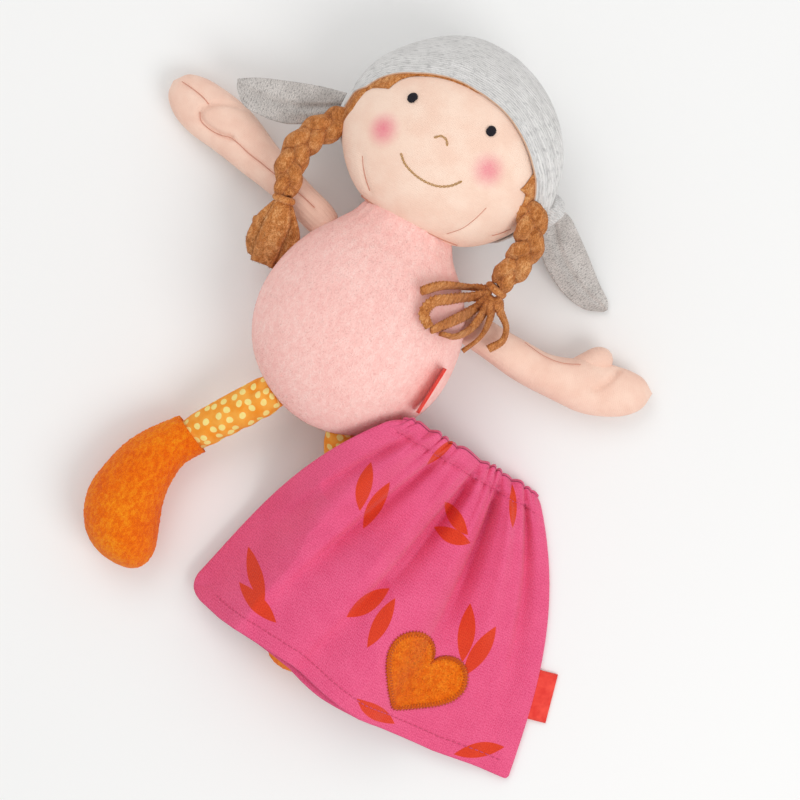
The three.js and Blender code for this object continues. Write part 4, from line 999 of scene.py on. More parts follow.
def make_leg(side):
    """A tube of dotted cotton over the filling, with a pleat at the belly."""
    hip_shift, ankle_shift = LEG_SHIFTS[side]
    hip, ankle = np.add(HIPS[side], hip_shift), np.add(ANKLES[side], ankle_shift)
    along = ankle - hip
    middle = (hip + ankle) / 2 + np.array([0, 0, 0.8])
    route = curve([hip - along * 0.13, hip, middle, ankle, ankle + along * 0.1], 56)
    s = np.linspace(-0.13, 1.1, 56)
    wide = np.interp(s, [-0.13, 0, 0.3, 0.9, 1.1], [9.4, 10.6, 10.6, 10, 8.6])
    deep = np.interp(s, [-0.13, 0, 0.3, 0.9, 1.1], [7.2, 8.4, 8.6, 8.6, 8])
    angle = circle(64)
    rings = tube(route, wide, deep, len(angle))
    out = unit(rings - route[:, None])
    near = np.clip(1 - (s + 0.05) / 0.42, 0, 1)[:, None] ** 1.5
    pleat = -1.5 * np.exp(-((angle - PLEATS[side]) / 0.16) ** 2) * near
    wrinkle = 0.5 * np.sin(s[:, None] * 26 + np.sin(angle * 2) * 1.5) * np.clip(np.cos(angle - 2.2), 0, 1)
    rings = rings + out * (pleat + wrinkle + rolling(rings, 22, 0.25, 9))[..., None]
    shape = Shape().stuffed(rings)
    return finished(shape.piece(f"{side}_leg_cover", DOTTED_COTTON), f"{side}_leg", "dotted_cotton",
                    f"{side}_leg_tube", f"{side}_leg_filling", fill=0.6)


TAB_HALF_WIDTH, TAB_HALF_THICKNESS = 6, 0.7


def make_tab(side):
    """The flattened end of the leg's tube, which is sewn in inside the belly."""
    hip, ankle = np.array(HIPS[side], float), np.array(ANKLES[side], float)
    back = unit((hip - ankle) * np.array([1, 1, 0]))
    start = hip + back * 9.3
    route = curve([start, start + back * 4.5, start + back * 9], 12)
    shape = Shape().stuffed(tube(route, TAB_HALF_WIDTH, TAB_HALF_THICKNESS, 20))
    body = "left_leg_root" if side == "left" else "right_leg"
    return finished(shape.piece(f"{side}_leg_end", DOTTED_COTTON), body, "dotted_cotton", f"{side}_leg_tab")


# [below the ankle, half width, half depth, bow, slant of the rows]
BOOT_SWELL = {
    "left": [(-1.8, 11.4, 10.9, 3.5, 0.5), (4.2, 11.9, 11.6, 8.0, 0.48), (10, 12.8, 12.6, 12, 0.43),
             (20, 15.2, 14.4, 16, 0.3), (30, 17.5, 16, 18, 0.18), (40, 19.9, 17.5, 18.6, 0.07),
             (47.3, 21.5, 18.4, 18.1, 0), (56.3, 22.3, 18.9, 16, 0), (64.3, 22, 18.8, 13.6, 0),
             (71.3, 19.8, 17.4, 11.4, 0), (76.8, 15.4, 14, 9.4, 0), (80.2, 9, 8, 8, 0),
             (81.6, 0.2, 0.2, 7.5, 0)],
    "right": [(-4.5, 10.9, 10.4, -1.4, 0), (3, 12.2, 11.6, 1.2, 0), (11, 14.6, 13.4, 5.2, 0),
              (21, 17.6, 15.8, 9.8, 0), (32, 19.9, 17.5, 13.2, 0), (42, 21.2, 18.4, 15.4, 0),
              (53, 21.8, 18.9, 16.4, 0), (64, 21, 18.8, 15.2, 0), (73, 18.2, 17, 12.4, 0),
              (79.5, 13.6, 13, 10, 0), (83, 8, 7, 8.6, 0), (84.6, 0.2, 0.2, 8, 0)],
}
BOOT_STRETCH = {"left": 1, "right": 1.035}
BOOT_RISE = 18.6  # height of the boot's middle


def make_boot(side):
    """A plush boot, round at the toe, with its cuff turned in round the leg's tube."""
    ankle = np.array(ANKLES[side], float)
    out_side = -1 if side == "left" else 1
    swell = curve(BOOT_SWELL[side], 170)
    line = np.stack([ankle[0] + out_side * swell[:, 3], ankle[1] - swell[:, 0] * BOOT_STRETCH[side],
                     np.full(len(swell), BOOT_RISE)], 1)
    angle = circle(150)
    x = swell[:, 1:2] * np.cos(angle)
    z = swell[:, 2:3] * np.sin(angle)
    rings = line[:, None] + np.stack([x, -x * swell[:, 4:5], z], 2)
    out = unit(rings - line[:, None] + 1e-6)
    seam = np.exp(-(np.sin(angle) * swell[:, 2:3] / 1.6) ** 2) * (swell[:, 1:2] > 5)
    uneven = rolling(rings, 46, 0.7, 13) + rolling(rings, 2.4, 0.28, 17) - seam * 0.7
    rings = rings + out * uneven[..., None]
    way = unit(line[10] - line[0])
    turned = rings[:1] - out[:1] * 1.6 + way * 0.6
    inside = rings[:1] - out[:1] * 2.0 + way * 9
    shape = Shape().stuffed(seated(np.concatenate([inside, turned, rings])))
    return finished(shape.piece(f"{side}_boot_cover", ORANGE_PLUSH), f"{side}_foot", "orange_plush",
                    f"{side}_boot_skin", f"{side}_boot_filling", fill=0.8)


# Braids

BRAID_ROUTES = {
    "left": [(-57, 100.5, 47), (-64.5, 92.5, 45.5), (-71.3, 83, 45), (-74.8, 70, 45), (-72.2, 57.5, 45.3),
             (-68.7, 47.2, 45.3)],
    "right": [(51.5, 103.5, 63), (56.2, 95, 63), (60.2, 85, 59.5), (60.4, 75.5, 56.5), (58.4, 67, 54),
              (57, 58, 52)],
}
BRAID_TURNS = {"left": 1.55, "right": 1.2}
BRAID_STARTS = {"left": 0.4, "right": 1.2}  # where the first strand starts, as an angle
STRAND_SWAY, STRAND_DIP, STRAND_RADIUS = 4.3, 3.0, 4.35


def make_braid(side):
    """Three plump strands of plush, each crossing over the other two."""
    route = curve(BRAID_ROUTES[side], 150)
    s = np.linspace(0, 1, len(route))
    across, up = frames(route)
    taper = np.interp(s, [0, 0.1, 0.75, 0.93, 1], [0.8, 1, 0.98, 0.82, 0.62])
    angle = circle(22)
    folds = 1 + 0.05 * np.sin(angle * 4 + s[:, None] * 60)
    shape = Shape()
    for strand in range(3):
        phase = s * BRAID_TURNS[side] * 2 * math.pi + strand * 2 * math.pi / 3 + BRAID_STARTS[side]
        sway, dip = np.sin(phase), np.sin(2 * phase)
        line = (route + across * (STRAND_SWAY * taper * sway)[:, None]
                + up * (STRAND_DIP * taper * dip)[:, None])
        swell = STRAND_RADIUS * taper * (1 + 0.1 * np.abs(sway) ** 1.5)
        shape.stuffed(tube(line, swell, swell * 0.92, len(angle), lump=folds))
    shape.tufts(4500, 1.6, 0.3, 41, comb=(0, -1, 0), lean=0.5)
    return finished(shape.piece(f"{side}_braid_plush", BROWN_PLUSH), f"{side}_plait", "brown_plush",
                    f"{side}_braid")


TIES = {"left": ((-68.7, 46.8, 45.3), (-68.1, 43.0, 44.9)), "right": ((56.9, 57, 51.9), (56.2, 53.2, 51.3))}


def make_tie(side):
    """A band of the same plush wound tightly round the braid's end."""
    start, end = (np.array(p) for p in TIES[side])
    route = curve([start, (start + end) / 2, end], 30)
    s = np.linspace(0, 1, len(route))
    wide = np.interp(s, [0, 0.2, 0.5, 0.8, 1], [5.2, 6.1, 6.4, 6.1, 5.2])
    angle = circle(40)
    lump = 1 + 0.05 * np.sin(angle * 9 + s[:, None] * 3)
    shape = Shape().stuffed(tube(route, wide, wide * 0.9, len(angle), lump=lump))
    return finished(shape.piece(f"{side}_tie_plush", BROWN_PLUSH), f"{side}_plait", "brown_plush",
                    f"{side}_braid_tie")


def strip(shape, left, right, height, thick):
    """A strip of plush between two edges, cut square at its end."""
    rows, columns = 40, 12
    a, b = curve(left, rows), curve(right, rows)
    t = np.linspace(0, 1, columns)
    level = np.interp(np.linspace(0, 1, rows), np.linspace(0, 1, len(height)), height)[:, None]
    flat = a[:, None] * (1 - t)[None, :, None] + b[:, None] * t[None, :, None]
    crown = 0.9 * np.sin(math.pi * t)
    edge = 1 - np.exp(-(np.minimum(t, 1 - t) / 0.06) ** 2)
    top = np.concatenate([flat, (level + crown + thick / 2 * (0.35 + 0.65 * edge))[..., None]], 2)
    under = np.concatenate([flat, (level + crown * 0.6 - thick / 2)[..., None]], 2)
    loop = np.concatenate([top, under[:, ::-1]], 1)
    shape.cover(loop[:, ::-1], closed=True, ends=FLAT_ENDS)


# [left edge, right edge, heights from the tie to the end]
LEFT_STRIPS = [
    ([(-73.5, 42), (-77.6, 31), (-77.4, 16), (-73.8, 10.4)], [(-68, 43), (-68, 30), (-67.5, 18), (-66.5, 9)],
     [43, 42, 36, 27]),
    ([(-67, 43), (-62, 32), (-60.5, 20), (-60, 8.6)], [(-62.4, 44), (-51.5, 31), (-48.6, 21), (-53, 9.6)],
     [43, 41, 35, 26]),
    ([(-79.5, 29.5), (-79, 27), (-72, 22), (-66, 18)], [(-77, 31.5), (-74, 32), (-66, 30), (-60, 26)],
     [36, 36, 35, 34]),
    ([(-72.5, 42.4), (-72.6, 28), (-71.6, 16), (-70.2, 7.6)],
     [(-64, 43.6), (-59, 34), (-58, 22), (-57.2, 9.4)],
     [46.5, 45.5, 39.5, 29.5]),
]
BROAD_STRIP_THICKNESS = 2.6


def make_left_tassel():
    """Broad strips that fall from the tie over the arm."""
    shape = Shape()
    for left, right, height in LEFT_STRIPS:
        strip(shape, left, right, height, BROAD_STRIP_THICKNESS)
    shape.tufts(2000, 1.0, 0.26, 51, comb=(0.1, -1, 0), lean=0.6)
    return finished(shape.piece("left_tassel_plush", BROWN_PLUSH), "left_plait", "brown_plush", "left_tassel")


# The middle line of each narrow strip, from the tie, and how far the strip is turned on edge
RIGHT_STRIPS = [
    [(54.5, 52.5), (47, 51.5), (38, 47.5), (28, 41.5), (21, 34.5)],
    [(54.5, 51.5), (46, 45.5), (36, 38), (29, 32), (28, 25), (34, 19.5)],
    [(55.5, 51), (51, 41), (45, 31), (39, 23), (35.5, 18.5)],
    [(56.5, 50.5), (56, 39), (53.5, 29), (48, 22), (41, 19.6)],
    [(57.5, 50.5), (61, 39.5), (61, 29), (56, 17.5)],
    [(58.5, 51.5), (65, 45.5), (71, 40), (72.6, 33), (67.8, 25)],
]
STRIP_TURNS = [0.95, 0.6, 0.8, 1.1, 1.2, 0.9]


def arm_top(x, y):
    """Height of the right arm's upper side."""
    line = curve(arm_route("right")[0], 60)
    far = np.abs(y - np.interp(x, line[:, 0], line[:, 1]))
    rise = 9.6 * np.sqrt(np.clip(1 - (far / 10.5) ** 2, 0, 1))
    return np.where(far < 10, np.interp(x, line[:, 0], line[:, 2]) + rise, 0)


def strip_height(flat, s):
    """Height of a narrow strip: it comes off the tie, then lies over the belly and the arm."""
    x, y = flat[:, 0], flat[:, 1]
    arm = arm_top(x, y)
    rest = np.where(np.abs(x) > belly_half(y), np.maximum(arm, 36), np.maximum(belly_top(x, y), arm))
    off_tie = s < 0.12
    lifted = np.interp(s, [0, 0.12, 1], [51, 53, 0]) * off_tie + np.maximum(rest + 6.2, 42) * ~off_tie
    height = evened(lifted, 8)
    return np.where(s > 0.1, np.maximum(height, rest + 5.0), height)


def make_right_tassel():
    """Six narrow strips of plush with corded edges, spread over the belly and the arm."""
    angle = circle(20)
    edge = np.abs(np.cos(angle)) ** 6
    square = 1 / np.maximum(np.abs(np.cos(angle)) ** 3 + np.abs(np.sin(angle)) ** 3, 1e-6) ** (1 / 3)
    s = np.linspace(0, 1, 70)
    half_width, half_thickness = np.interp(s, [0, 0.12, 0.9, 1], [2.8, 3.0, 3.0, 2.6]), 1.15
    cord = 1 + 0.24 * edge * np.sin(s[:, None] * 2 * math.pi * 24 + np.sign(np.cos(angle)) * 1.2)
    shape = Shape()
    for number, places in enumerate(RIGHT_STRIPS):
        flat = curve(places, len(s))
        route = np.concatenate([flat, strip_height(flat, s)[:, None]], 1)
        turn = STRIP_TURNS[number] * np.interp(s, [0, 0.25, 1], [0.2, 1, 1]) + 0.25 * np.sin(s * 5 + number)
        shape.stuffed(tube(route, half_width, half_thickness, len(angle), turn=turn, lump=cord * square))
    shape.tufts(1500, 0.7, 0.22, 61, comb=(-0.4, -1, 0), lean=0.6)
    return finished(shape.piece("right_tassel_plush", BROWN_PLUSH), "right_plait", "brown_plush",
                    "right_tassel")


# Skirt

SKIRT_LENGTH, WAIST_WIDTH, HEM_WIDTH = 149, 88, 205
SKIRT_CORNER, WAIST_SKEW = (44, -28), 5
# Length of the panel from its left edge to its right, as a share of SKIRT_LENGTH
HEM_SHARES = [0.95, 0.975, 0.98, 0.985, 1.02, 1.045, 1.04, 1.03, 1.005, 0.99]
# The boot under the skirt: [share of its length, share of its width, share of its height, share of its bow]
BOOT_SUPPORTS = [(0.08, 0.52, 0.6, 0.16), (0.2, 0.62, 0.78, 0.48), (0.34, 0.77, 0.9, 0.78),
                 (0.48, 0.91, 0.97, 0.97), (0.62, 0.99, 1, 1), (0.76, 0.98, 0.99, 0.88),
                 (0.88, 0.84, 0.88, 0.66), (0.96, 0.6, 0.62, 0.5)]


def skirt_width(down):
    return WAIST_WIDTH + (HEM_WIDTH - WAIST_WIDTH) * (0.6 * (1 - (1 - down) ** 3) + 0.4 * down)


def skirt_place(across, down):
    """A place of the laid-out skirt, by its shares across and down the panel."""
    wide = skirt_width(down)
    x = SKIRT_CORNER[0] + WAIST_WIDTH / 2 - wide / 2 + across * wide
    longer = np.interp(across, np.linspace(0, 1, len(HEM_SHARES)), HEM_SHARES)
    y = SKIRT_CORNER[1] - across * WAIST_SKEW - SKIRT_LENGTH * longer * down
    return x, y


def supports():
    """What the skirt lies on: [x, y, height, radius of the level top]."""
    found = []
    hip, ankle = np.array(HIPS["right"], float), np.array(ANKLES["right"], float)
    for share in (0.2, 0.5, 0.8):
        place = hip + (ankle - hip) * share
        found.append((place[0], place[1], place[2] + 9, 20 * (0.5 + 0.3 * share)))
    for share, wide, deep, bow in BOOT_SUPPORTS:
        found.append((ankle[0] + 17 * bow, ankle[1] - share * 85, 18.5 + 19 * deep * 0.96,
                      22 * wide + (45 + share * 85) * 0.14))
    step = 57 / 9
    for x in np.arange(19, 57, step):
        for y in np.arange(-57, SKIRT_CORNER[1] + step, step):
            if abs(x) < belly_half(y):
                found.append((x, y, float(belly_top(x, y)), step / 2))
    return np.array(found)


def cloth_rest(x, y):
    """Height of the skirt's underside: held up by its supports and falling to the table between them."""
    held = supports()
    far = np.hypot(x[..., None] - held[:, 0], y[..., None] - held[:, 1]) - held[:, 3]
    height = np.maximum(0, held[:, 2] + 0.4 - 0.95 * np.maximum(0, far))
    most = np.maximum(height.max(-1), 1e-6)
    return most * ((height / most[..., None]) ** 40).sum(-1) ** (1 / 40)


def blurred(field, reach):
    """A surface evened out over a few points each way."""
    for axis in (0, 1):
        kernel = np.exp(-np.linspace(-2, 2, 2 * reach + 1) ** 2)
        kernel /= kernel.sum()
        padded = np.pad(field, [(reach, reach) if a == axis else (0, 0) for a in (0, 1)], mode="edge")
        field = np.apply_along_axis(lambda row: np.convolve(row, kernel, "valid"), axis, padded)
    return field


SKIRT_ROWS, SKIRT_COLUMNS = 140, 220
CASING_SHARE = 0.09  # how far down the panel the elastic reaches
waist_band = np.array([v.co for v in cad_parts["waist_elastic"].data.vertices]) / MM


def rounded_corners(across, down):
    """The same places with the panel's corners drawn in to an arc."""
    wide = skirt_width(down)
    side, fall = across * wide, down * SKIRT_LENGTH
    for right, low, reach in ((0, 1, 12), (1, 1, 2.5), (0, 0, 9), (1, 0, 4)):
        a = wide - side if right else side
        d = SKIRT_LENGTH - fall if low else fall
        p, q = np.clip(reach - a, 0, None), np.clip(reach - d, 0, None)
        far = np.maximum(np.hypot(p, q), 1e-6)
        share = np.where((p > 0) & (q > 0), np.maximum(p, q) / far, 1)
        a, d = np.where(p > 0, reach - p * share, a), np.where(q > 0, reach - q * share, d)
        side, fall = (wide - a if right else a), (SKIRT_LENGTH - d if low else d)
    return side / wide, fall / SKIRT_LENGTH


def skirt_layers():
    """Places, shares across and down, and the heights of the back and the front, from the waist to the hem."""
    down = np.linspace(0, 1, SKIRT_ROWS)[:, None] ** 1.12
    across = np.linspace(0, 1, SKIRT_COLUMNS)[None, :]
    down, across = np.broadcast_arrays(down, across)
    x, y = skirt_place(*rounded_corners(across, down))
    x = x - 4 * np.exp(-(across / 0.12) ** 2) * down ** 5
    firm = cloth_rest(x, y)
    rest = firm
    for reach in (18, 12, 7, 4):
        rest = np.maximum(blurred(rest, reach), firm)
    lifting = np.sin(math.pi * np.clip(across, 0, 1)) ** 0.6
    air = 10.5 * (1.3 - 0.5 * down)
    fold = 0.5 + 0.5 * np.cos(2 * math.pi * (7 * across + 0.22 * np.sin(5 * across + 2 * down)))
    broad = 1.6 * fold * (1 - 0.45 * down)
    inner = np.clip(np.sin(math.pi * across) * 3, 0, 1)
    unevenness = 0.6 * np.sin(7 * across) + 0.45 * np.sin(19 * across + 4 * down)
    ruffle = np.abs(np.sin(math.pi * (14 * across + unevenness))) ** 0.7 * (0.8 + 0.3 * np.sin(31 * across))
    pleat = np.abs(np.sin(math.pi * (6 * across + 0.4 * np.sin(5 * across) + 0.1))) ** 0.8
    gather = (3.4 * (ruffle - 0.6) * np.exp(-(down / 0.13) ** 1.6)
              + 3.6 * (pleat - 0.6) * np.exp(-(down / 0.36) ** 1.5) * np.clip(down / 0.05, 0, 1)) * inner
    casing = -2.2 * np.exp(-((down - 0.064) / 0.012) ** 2) + 0.9 * np.exp(-((down - 0.03) / 0.022) ** 2)
    y = y + 2.0 * (ruffle - 0.5) * np.exp(-(down / 0.07) ** 2) * inner
    drape = np.zeros_like(x)
    fading = np.clip((down - 0.45) / 0.33, 0, 1)
    deep = (1.25 - 0.65 * down) * (1 - 0.62 * fading ** 2 * (3 - 2 * fading)) * np.clip(down * 8, 0, 1)
    for start, end, left, right, height in DRAPES:
        off = across - start - (end - start) * down ** 0.8
        width = np.where(off < 0, left, right) * (0.7 + 0.6 * down)
        drape = drape + height * np.exp(-(off / width) ** 2) * deep
    lowest = rest + JERSEY + GAP
    front = lowest + lifting * (air + broad) + (gather + casing + drape) * np.clip(lifting * 1.5, 0, 1)
    front = np.maximum(front, lowest)
    for row in range(int((down[:, 0] < CASING_SHARE).sum())):
        near = np.abs(waist_band[:, None, 0] - x[row]) + 3 * np.abs(waist_band[:, None, 1] - y[row]) < 7
        front[row] = np.maximum(front[row], np.where(near, waist_band[:, 2:], 0).max(0) + 0.35)
    return x, y, across, down, rest, front


# Valleys and ridges that run down from the waist:
# [across at the waist, across at the hem, width to its left and right, height]
DRAPES = [(0.56, 0.36, 0.014, 0.055, -15), (0.51, 0.3, 0.05, 0.02, 4), (0.71, 0.62, 0.014, 0.045, -11),
          (0.67, 0.56, 0.035, 0.02, 3), (0.8, 0.8, 0.04, 0.03, 4), (0.36, 0.18, 0.014, 0.05, -9),
          (0.24, 0.1, 0.08, 0.05, 5), (0.16, 0.03, 0.02, 0.04, -5), (0.88, 0.92, 0.016, 0.04, -8)]

skirt_x, skirt_y, skirt_across, skirt_down, skirt_back, skirt_front = skirt_layers()
# The back's hem shows a little past the front's. The flat cloth is 150 wide at the waist and 220 at the hem.
back_y = skirt_y - 4.2 * np.exp(-((skirt_across - 0.4) / 0.13) ** 2) * skirt_down ** 12
flat_across = (skirt_across - 0.5) * (150 + 70 * skirt_down)
flat_down = skirt_down * SKIRT_LENGTH


def skirt_panel(name, y, lower, node):
    """One panel of the skirt, a closed sheet."""
    top = np.stack([skirt_x, y, lower + JERSEY], 2)
    under = np.stack([skirt_x, y, lower], 2)
    rim = np.concatenate([top[:, ::-1], under], 1)
    wide = np.concatenate([flat_across[:, ::-1], flat_across, flat_across[:, -1:]], 1)
    shape = Shape().cover(rim, across=wide, along=np.concatenate([flat_down, flat_down, flat_down[:, :1]], 1),
                          closed=True, ends=FLAT_ENDS)
    piece = shape.piece(name, SKIRT_JERSEY)
    return finished(piece, "skirt", "magenta_jersey", node)


def skirt_height(x, y):
    """Height of the front of the skirt above a place."""
    far = (skirt_x[..., None] - x) ** 2 + (skirt_y[..., None] - y) ** 2
    order = far.reshape(-1, far.shape[-1]).argsort(0)[:6]
    near = np.take_along_axis(far.reshape(-1, far.shape[-1]), order, 0)
    weight = 1 / (near + 0.05)
    return (skirt_front.reshape(-1)[order] * weight).sum(0) / weight.sum(0)


def make_skirt():
    made = [skirt_panel("skirt_back_cloth", back_y, skirt_back, "skirt_back_panel"),
            skirt_panel("skirt_front_cloth", skirt_y, skirt_front, "skirt_front_panel")]
    return made


def make_casing():
    """The waist's turned edge, which wraps round the elastic."""
    x, y, top = skirt_x[0], skirt_y[0], skirt_front[0] + JERSEY * 0.6
    near = np.abs(waist_band[:, None, 0] - x) < 4
    low = np.where(near.any(0), np.where(near, waist_band[:, 2:], np.inf).min(0), top - 2) - 0.5
    low = blurred(np.stack([low] * 9), 5)[0]
    low = np.minimum(low, top - 1.5)
    middle, half = (top + low) / 2, (top - low) / 2
    turn = np.linspace(-0.5, 0.5, 13)[:, None] * math.pi
    bend = np.stack([x + 0 * turn, y + 0.3 + 1.2 * np.cos(turn), middle - half * np.sin(turn)], 2)
    under = [np.stack([x, y - back, low], 1)[None] for back in (2, 5, 8)]
    grid = np.concatenate([bend] + under)
    shape = Shape().cover(grid, across=np.broadcast_to(flat_across[0], grid.shape[:2]),
                          along=-np.arange(len(grid)) * 0.8)
    return finished(shape.piece("skirt_casing", SKIRT_JERSEY), "skirt", "magenta_jersey")


HEM_DEPTH = 8  # from the stitches to the hem's edge


def make_hem_stitches():
    """A row of running stitches above the hem, and one below the waist casing."""
    shape = Shape()
    hem_row, casing_row = 1 - HEM_DEPTH / SKIRT_LENGTH, 0.062
    for row_share, pitch in ((hem_row, 3.4), (casing_row, 3.0)):
        row = int(np.argmin(np.abs(skirt_down[:, 0] - row_share)))
        line = np.stack([skirt_x[row], skirt_y[row], skirt_front[row] + JERSEY], 1)[14:-5]
        way = travelled(line)
        for start in np.arange(pitch, way[-1] - pitch, pitch):
            route = picked(line, way, np.linspace(start, start + pitch * 0.62, 5))
            route[:, 2] += 0.28 * np.sin(np.linspace(0, math.pi, 5)) - 0.02
            thread(shape, route, 0.3)
    return finished(shape.piece("skirt_stitches", PINK_THREAD), "skirt", "magenta_jersey")


# Right half of the heart, from its notch to its point, in shares of its width
HEART_OUTLINE = [(0, 0.2), (0.05, 0.29), (0.177, 0.368), (0.3, 0.372), (0.42, 0.3), (0.495, 0.16),
                 (0.48, 0.0), (0.4, -0.14), (0.26, -0.29), (0.12, -0.42), (0.03, -0.49)]
HEART_MIDDLE, HEART_WIDTH, HEART_TURN = (120, -149.5), 49, -12


def heart_line(count):
    """The heart's edge, turned as it lies on the skirt."""
    half = np.array(HEART_OUTLINE)
    loop = np.concatenate([half, [(0, -0.5)], (half * (-1, 1))[::-1]])
    line = curve(loop, count)[:-1] * HEART_WIDTH
    c, s = math.cos(math.radians(HEART_TURN)), math.sin(math.radians(HEART_TURN))
    return line @ np.array([[c, s], [-s, c]])


# [share of the way from the heart's middle to its edge, height over the skirt]
HEART_RINGS = [(1.0, 0.1), (0.995, 0.9), (0.97, 1.3), (0.92, 1.5), (0.84, 1.0), (0.72, 1.5), (0.58, 1.5),
               (0.42, 1.5), (0.26, 1.5), (0.12, 1.5), (0.03, 1.5)]


def make_heart():
    """A plush heart sewn on with zigzag stitches round its edge."""
    edge = heart_line(121)
    centre = edge.mean(0)
    rings = []
    for share, rise in HEART_RINGS:
        flat = np.array(HEART_MIDDLE) + centre + (edge - centre) * share
        z = skirt_height(flat[:, 0], flat[:, 1]) + JERSEY + rise
        rings.append(np.concatenate([flat, z[:, None]], 1))
    shape = Shape().cover(np.array(rings), closed=True, ends=(False, True))
    shape.tufts(9000, 0.7, 0.28, 71, comb=(0.3, -1, 0), lean=1.1)
    return finished(shape.piece("heart_plush", PATCH_PLUSH), "skirt", "orange_plush", "heart_patch")


ZIGZAG_PITCH = 1.75


def make_heart_stitches():
    """Zigzag stitches over the heart's edge."""
    edge = heart_line(2400)
    way = travelled(edge)
    at = np.arange(0, way[-1] - 1, ZIGZAG_PITCH)
    base = picked(edge, way, at)
    inward = unit(edge.mean(0) - base)
    ends = [(base + inward * reach) + HEART_MIDDLE for reach in (-0.8, 2.5)]
    ends = [np.concatenate([p, (skirt_height(p[:, 0], p[:, 1]) + JERSEY + rise)[:, None]], 1)
            for p, rise in zip(ends, (0.25, 1.75))]
    shape = Shape()
    for k in range(len(at) - 1):
        for start, end in ((ends[0][k], ends[1][k]), (ends[1][k], ends[0][k + 1])):
            thread(shape, [start, (start + end) / 2 + np.array([0, 0, 0.45]), end], 0.27, 5)
    return finished(shape.piece("heart_stitches", PATCH_THREAD), "skirt", "orange_plush")


RIBBON_HALF_THICKNESS = 0.22


def make_label(name, route, across, width, body, node):
    """A folded loop of ribbon, its two ends sewn into the seam."""
    line = np.asarray(route, float)
    across = unit(np.asarray(across, float))
    t = np.linspace(-width / 2, width / 2, 14)
    upper = line[:, None] + across * t[None, :, None]
    along = unit(np.gradient(line, axis=0))
    out = np.cross(along, across) * RIBBON_HALF_THICKNESS
    loop = np.concatenate([upper + out[:, None], (upper - out[:, None])[:, ::-1]], 1)
    shape = Shape().cover(loop, closed=True, ends=FLAT_ENDS)
    return finished(shape.piece(name, RED_RIBBON), body, "red_ribbon", node)


def label_loop(root, out, length, thick, up=(0, 0, 1)):
    """A route from the seam out to the fold and back, where thick is the loop's height."""
    root, out, up = np.array(root, float), unit(np.array(out, float)), unit(np.array(up, float))
    t = np.linspace(0, 1, 14)[:, None]
    lower = root + out * (length - thick) * t - up * thick / 2
    fold = [root + out * (length - thick + thick * math.sin(a)) - up * thick / 2 * math.cos(a)
            for a in np.linspace(0, math.pi, 7)]
    upper = root + out * (length - thick) * t[::-1] + up * (thick / 2 + 0.4 * np.sin(math.pi * t[::-1]))
    return np.concatenate([lower, np.array(fold)[1:-1], upper])


LABEL_WIDTH = 28
SKIRT_LABEL_SHARES = (0.572, 0.768)  # where the label starts and ends down the skirt's side


def make_labels():
    """Two bare labels of red ribbon, one in the skirt's side seam and one upright in the belly's."""
    low, high = (np.array(v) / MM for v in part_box("skirt_label"))
    seam_top, seam_bottom = (np.array(skirt_place(np.array(1.0), np.array(s))) for s in SKIRT_LABEL_SHARES)
    seam = unit(seam_bottom - seam_top)
    out = np.array([-seam[1], seam[0], 0])
    middle = (seam_top + seam_bottom) / 2
    root = np.array([middle[0], middle[1], (low[2] + high[2]) / 2]) - out * 5
    route = label_loop(root, out, 15.2, thick=0.8)
    make_label("skirt_ribbon", route, (seam[0], seam[1], 0), LABEL_WIDTH, "skirt", "skirt_label")
    low, high = (np.array(v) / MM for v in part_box("body_label"))
    root = np.array([low[0] + 1.0, (low[1] + high[1]) / 2, low[2] - 1.5])
    upward = unit(np.array([math.sin(math.radians(4)), 0, math.cos(math.radians(4))]))
    route = label_loop(root, upward, 14.0, up=(-1, 0, 0.07), thick=0.5)
    make_label("belly_ribbon", route, (0.07, 1, 0), LABEL_WIDTH, "torso", "body_label")


# Making all pieces

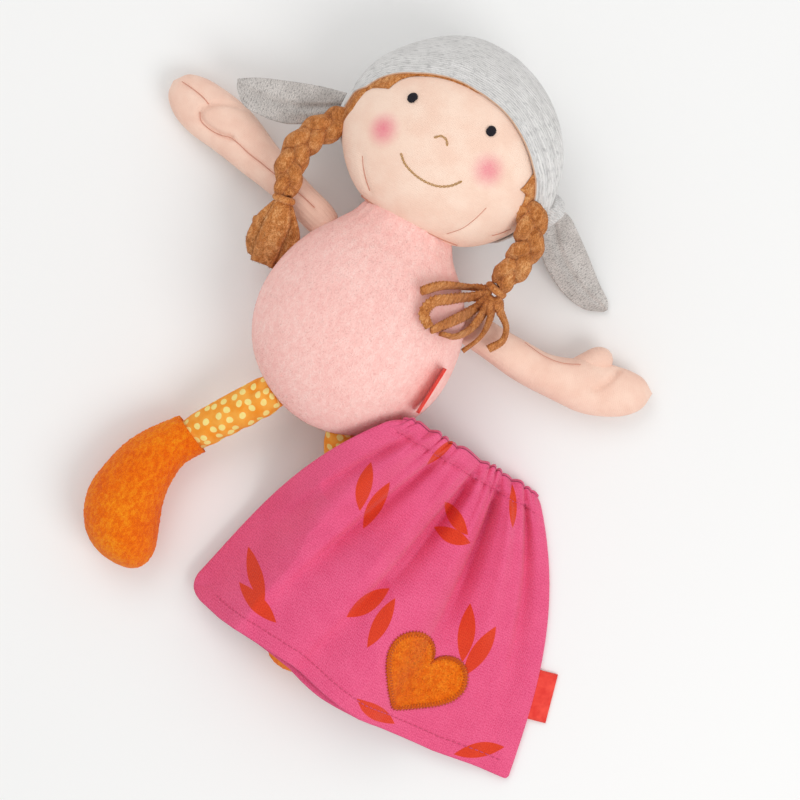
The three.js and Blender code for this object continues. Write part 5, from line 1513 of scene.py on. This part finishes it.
make_belly()
make_head()
make_darts()
make_neck_seam()
make_eye("left_eye_stitches", (-33.2, 128), "left_eye")
make_eye("right_eye_stitches", (13.2, 132), "right_eye")
chain("nose_chain", NOSE_LINE, 4, "nose_stitch")
chain("mouth_chain", MOUTH_LINE, 19, "mouth_stitch")
make_hair()
make_scarf()
make_piping()
make_knot()
right_tail = make_tail("right_tail_cloth", *TAIL_EDGES["right"], (33, 3.2), "right_tail", "right_scarf_tail",
                       crease=2.4, seed=1)
left_tail = make_tail("left_tail_cloth", *TAIL_EDGES["left"], (32, 32.5), "left_tail", "left_scarf_tail",
                      crease=2.6, seed=2)
for side in ("left", "right"):
    make_arm(side)
    make_arm_seams(side)
    make_leg(side)
    make_tab(side)
    make_boot(side)
    make_braid(side)
    make_tie(side)
make_left_tassel()
make_right_tassel()
make_skirt()
make_casing()
make_hem_stitches()
make_heart()
make_heart_stitches()
make_labels()
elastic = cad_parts["waist_elastic"]
elastic.data.materials.clear()
elastic.data.materials.append(ELASTIC_WEB.material)


# Table, backdrop and light

TABLE_HALF_SIZE = 6000


def make_table():
    """A pale, level table top."""
    finish = Finish("table_top", 0.7)
    tone = finish.cloudy(finish.on_doll(), 400)
    finish.coloured(finish.mixed(tone, dye(240, 240, 239), dye(244, 244, 243)))
    grid = np.array([[(x, y, 0) for x in (-TABLE_HALF_SIZE, TABLE_HALF_SIZE)]
                     for y in (-TABLE_HALF_SIZE, TABLE_HALF_SIZE)], float)
    Shape().cover(grid).piece("table_top", finish)


LIGHT_AIM = (20, 0, 0)


def lamp(name, place, size, power):
    """A round, soft light that shines on the doll."""
    light = bpy.data.lights.new(name, "AREA")
    light.shape, light.size, light.energy = "DISK", size * MM, power
    holder = bpy.data.objects.new(name, light)
    bpy.context.scene.collection.objects.link(holder)
    holder.location = Vector(place) * MM
    holder.rotation_euler = (Vector(LIGHT_AIM) - Vector(place)).to_track_quat("-Z", "Y").to_euler()


def light_room():
    """Even white light from all sides. Past the table's edge, a pale backdrop is seen in its place."""
    world = bpy.data.worlds.new("room")
    bpy.context.scene.world = world
    world.use_nodes = True
    room = Nodes(world.node_tree)
    around = room.tree.nodes["Background"]
    room.fill(around, {"Color": (1.0, 1.0, 1.0, 1.0), "Strength": 0.7})
    behind = room.add("ShaderNodeBackground", sockets={"Color": dye(243, 243, 242)})
    straight, mirrored, through = (room.add("ShaderNodeLightPath", output=ray)
                                   for ray in ("Is Camera Ray", "Is Glossy Ray", "Is Transmission Ray"))
    seen = straight.greater(mirrored).greater(through)
    chosen = room.add("ShaderNodeMixShader", sockets={0: seen, 1: Amount(room, around.outputs[0]), 2: behind})
    room.fill(room.tree.nodes["World Output"], {"Surface": chosen})


make_table()
lamp("window_light", (1200, -300, 1400), 1100, 11)
lamp("fill_light", (-800, 600, 1500), 1200, 5.5)
light_room()
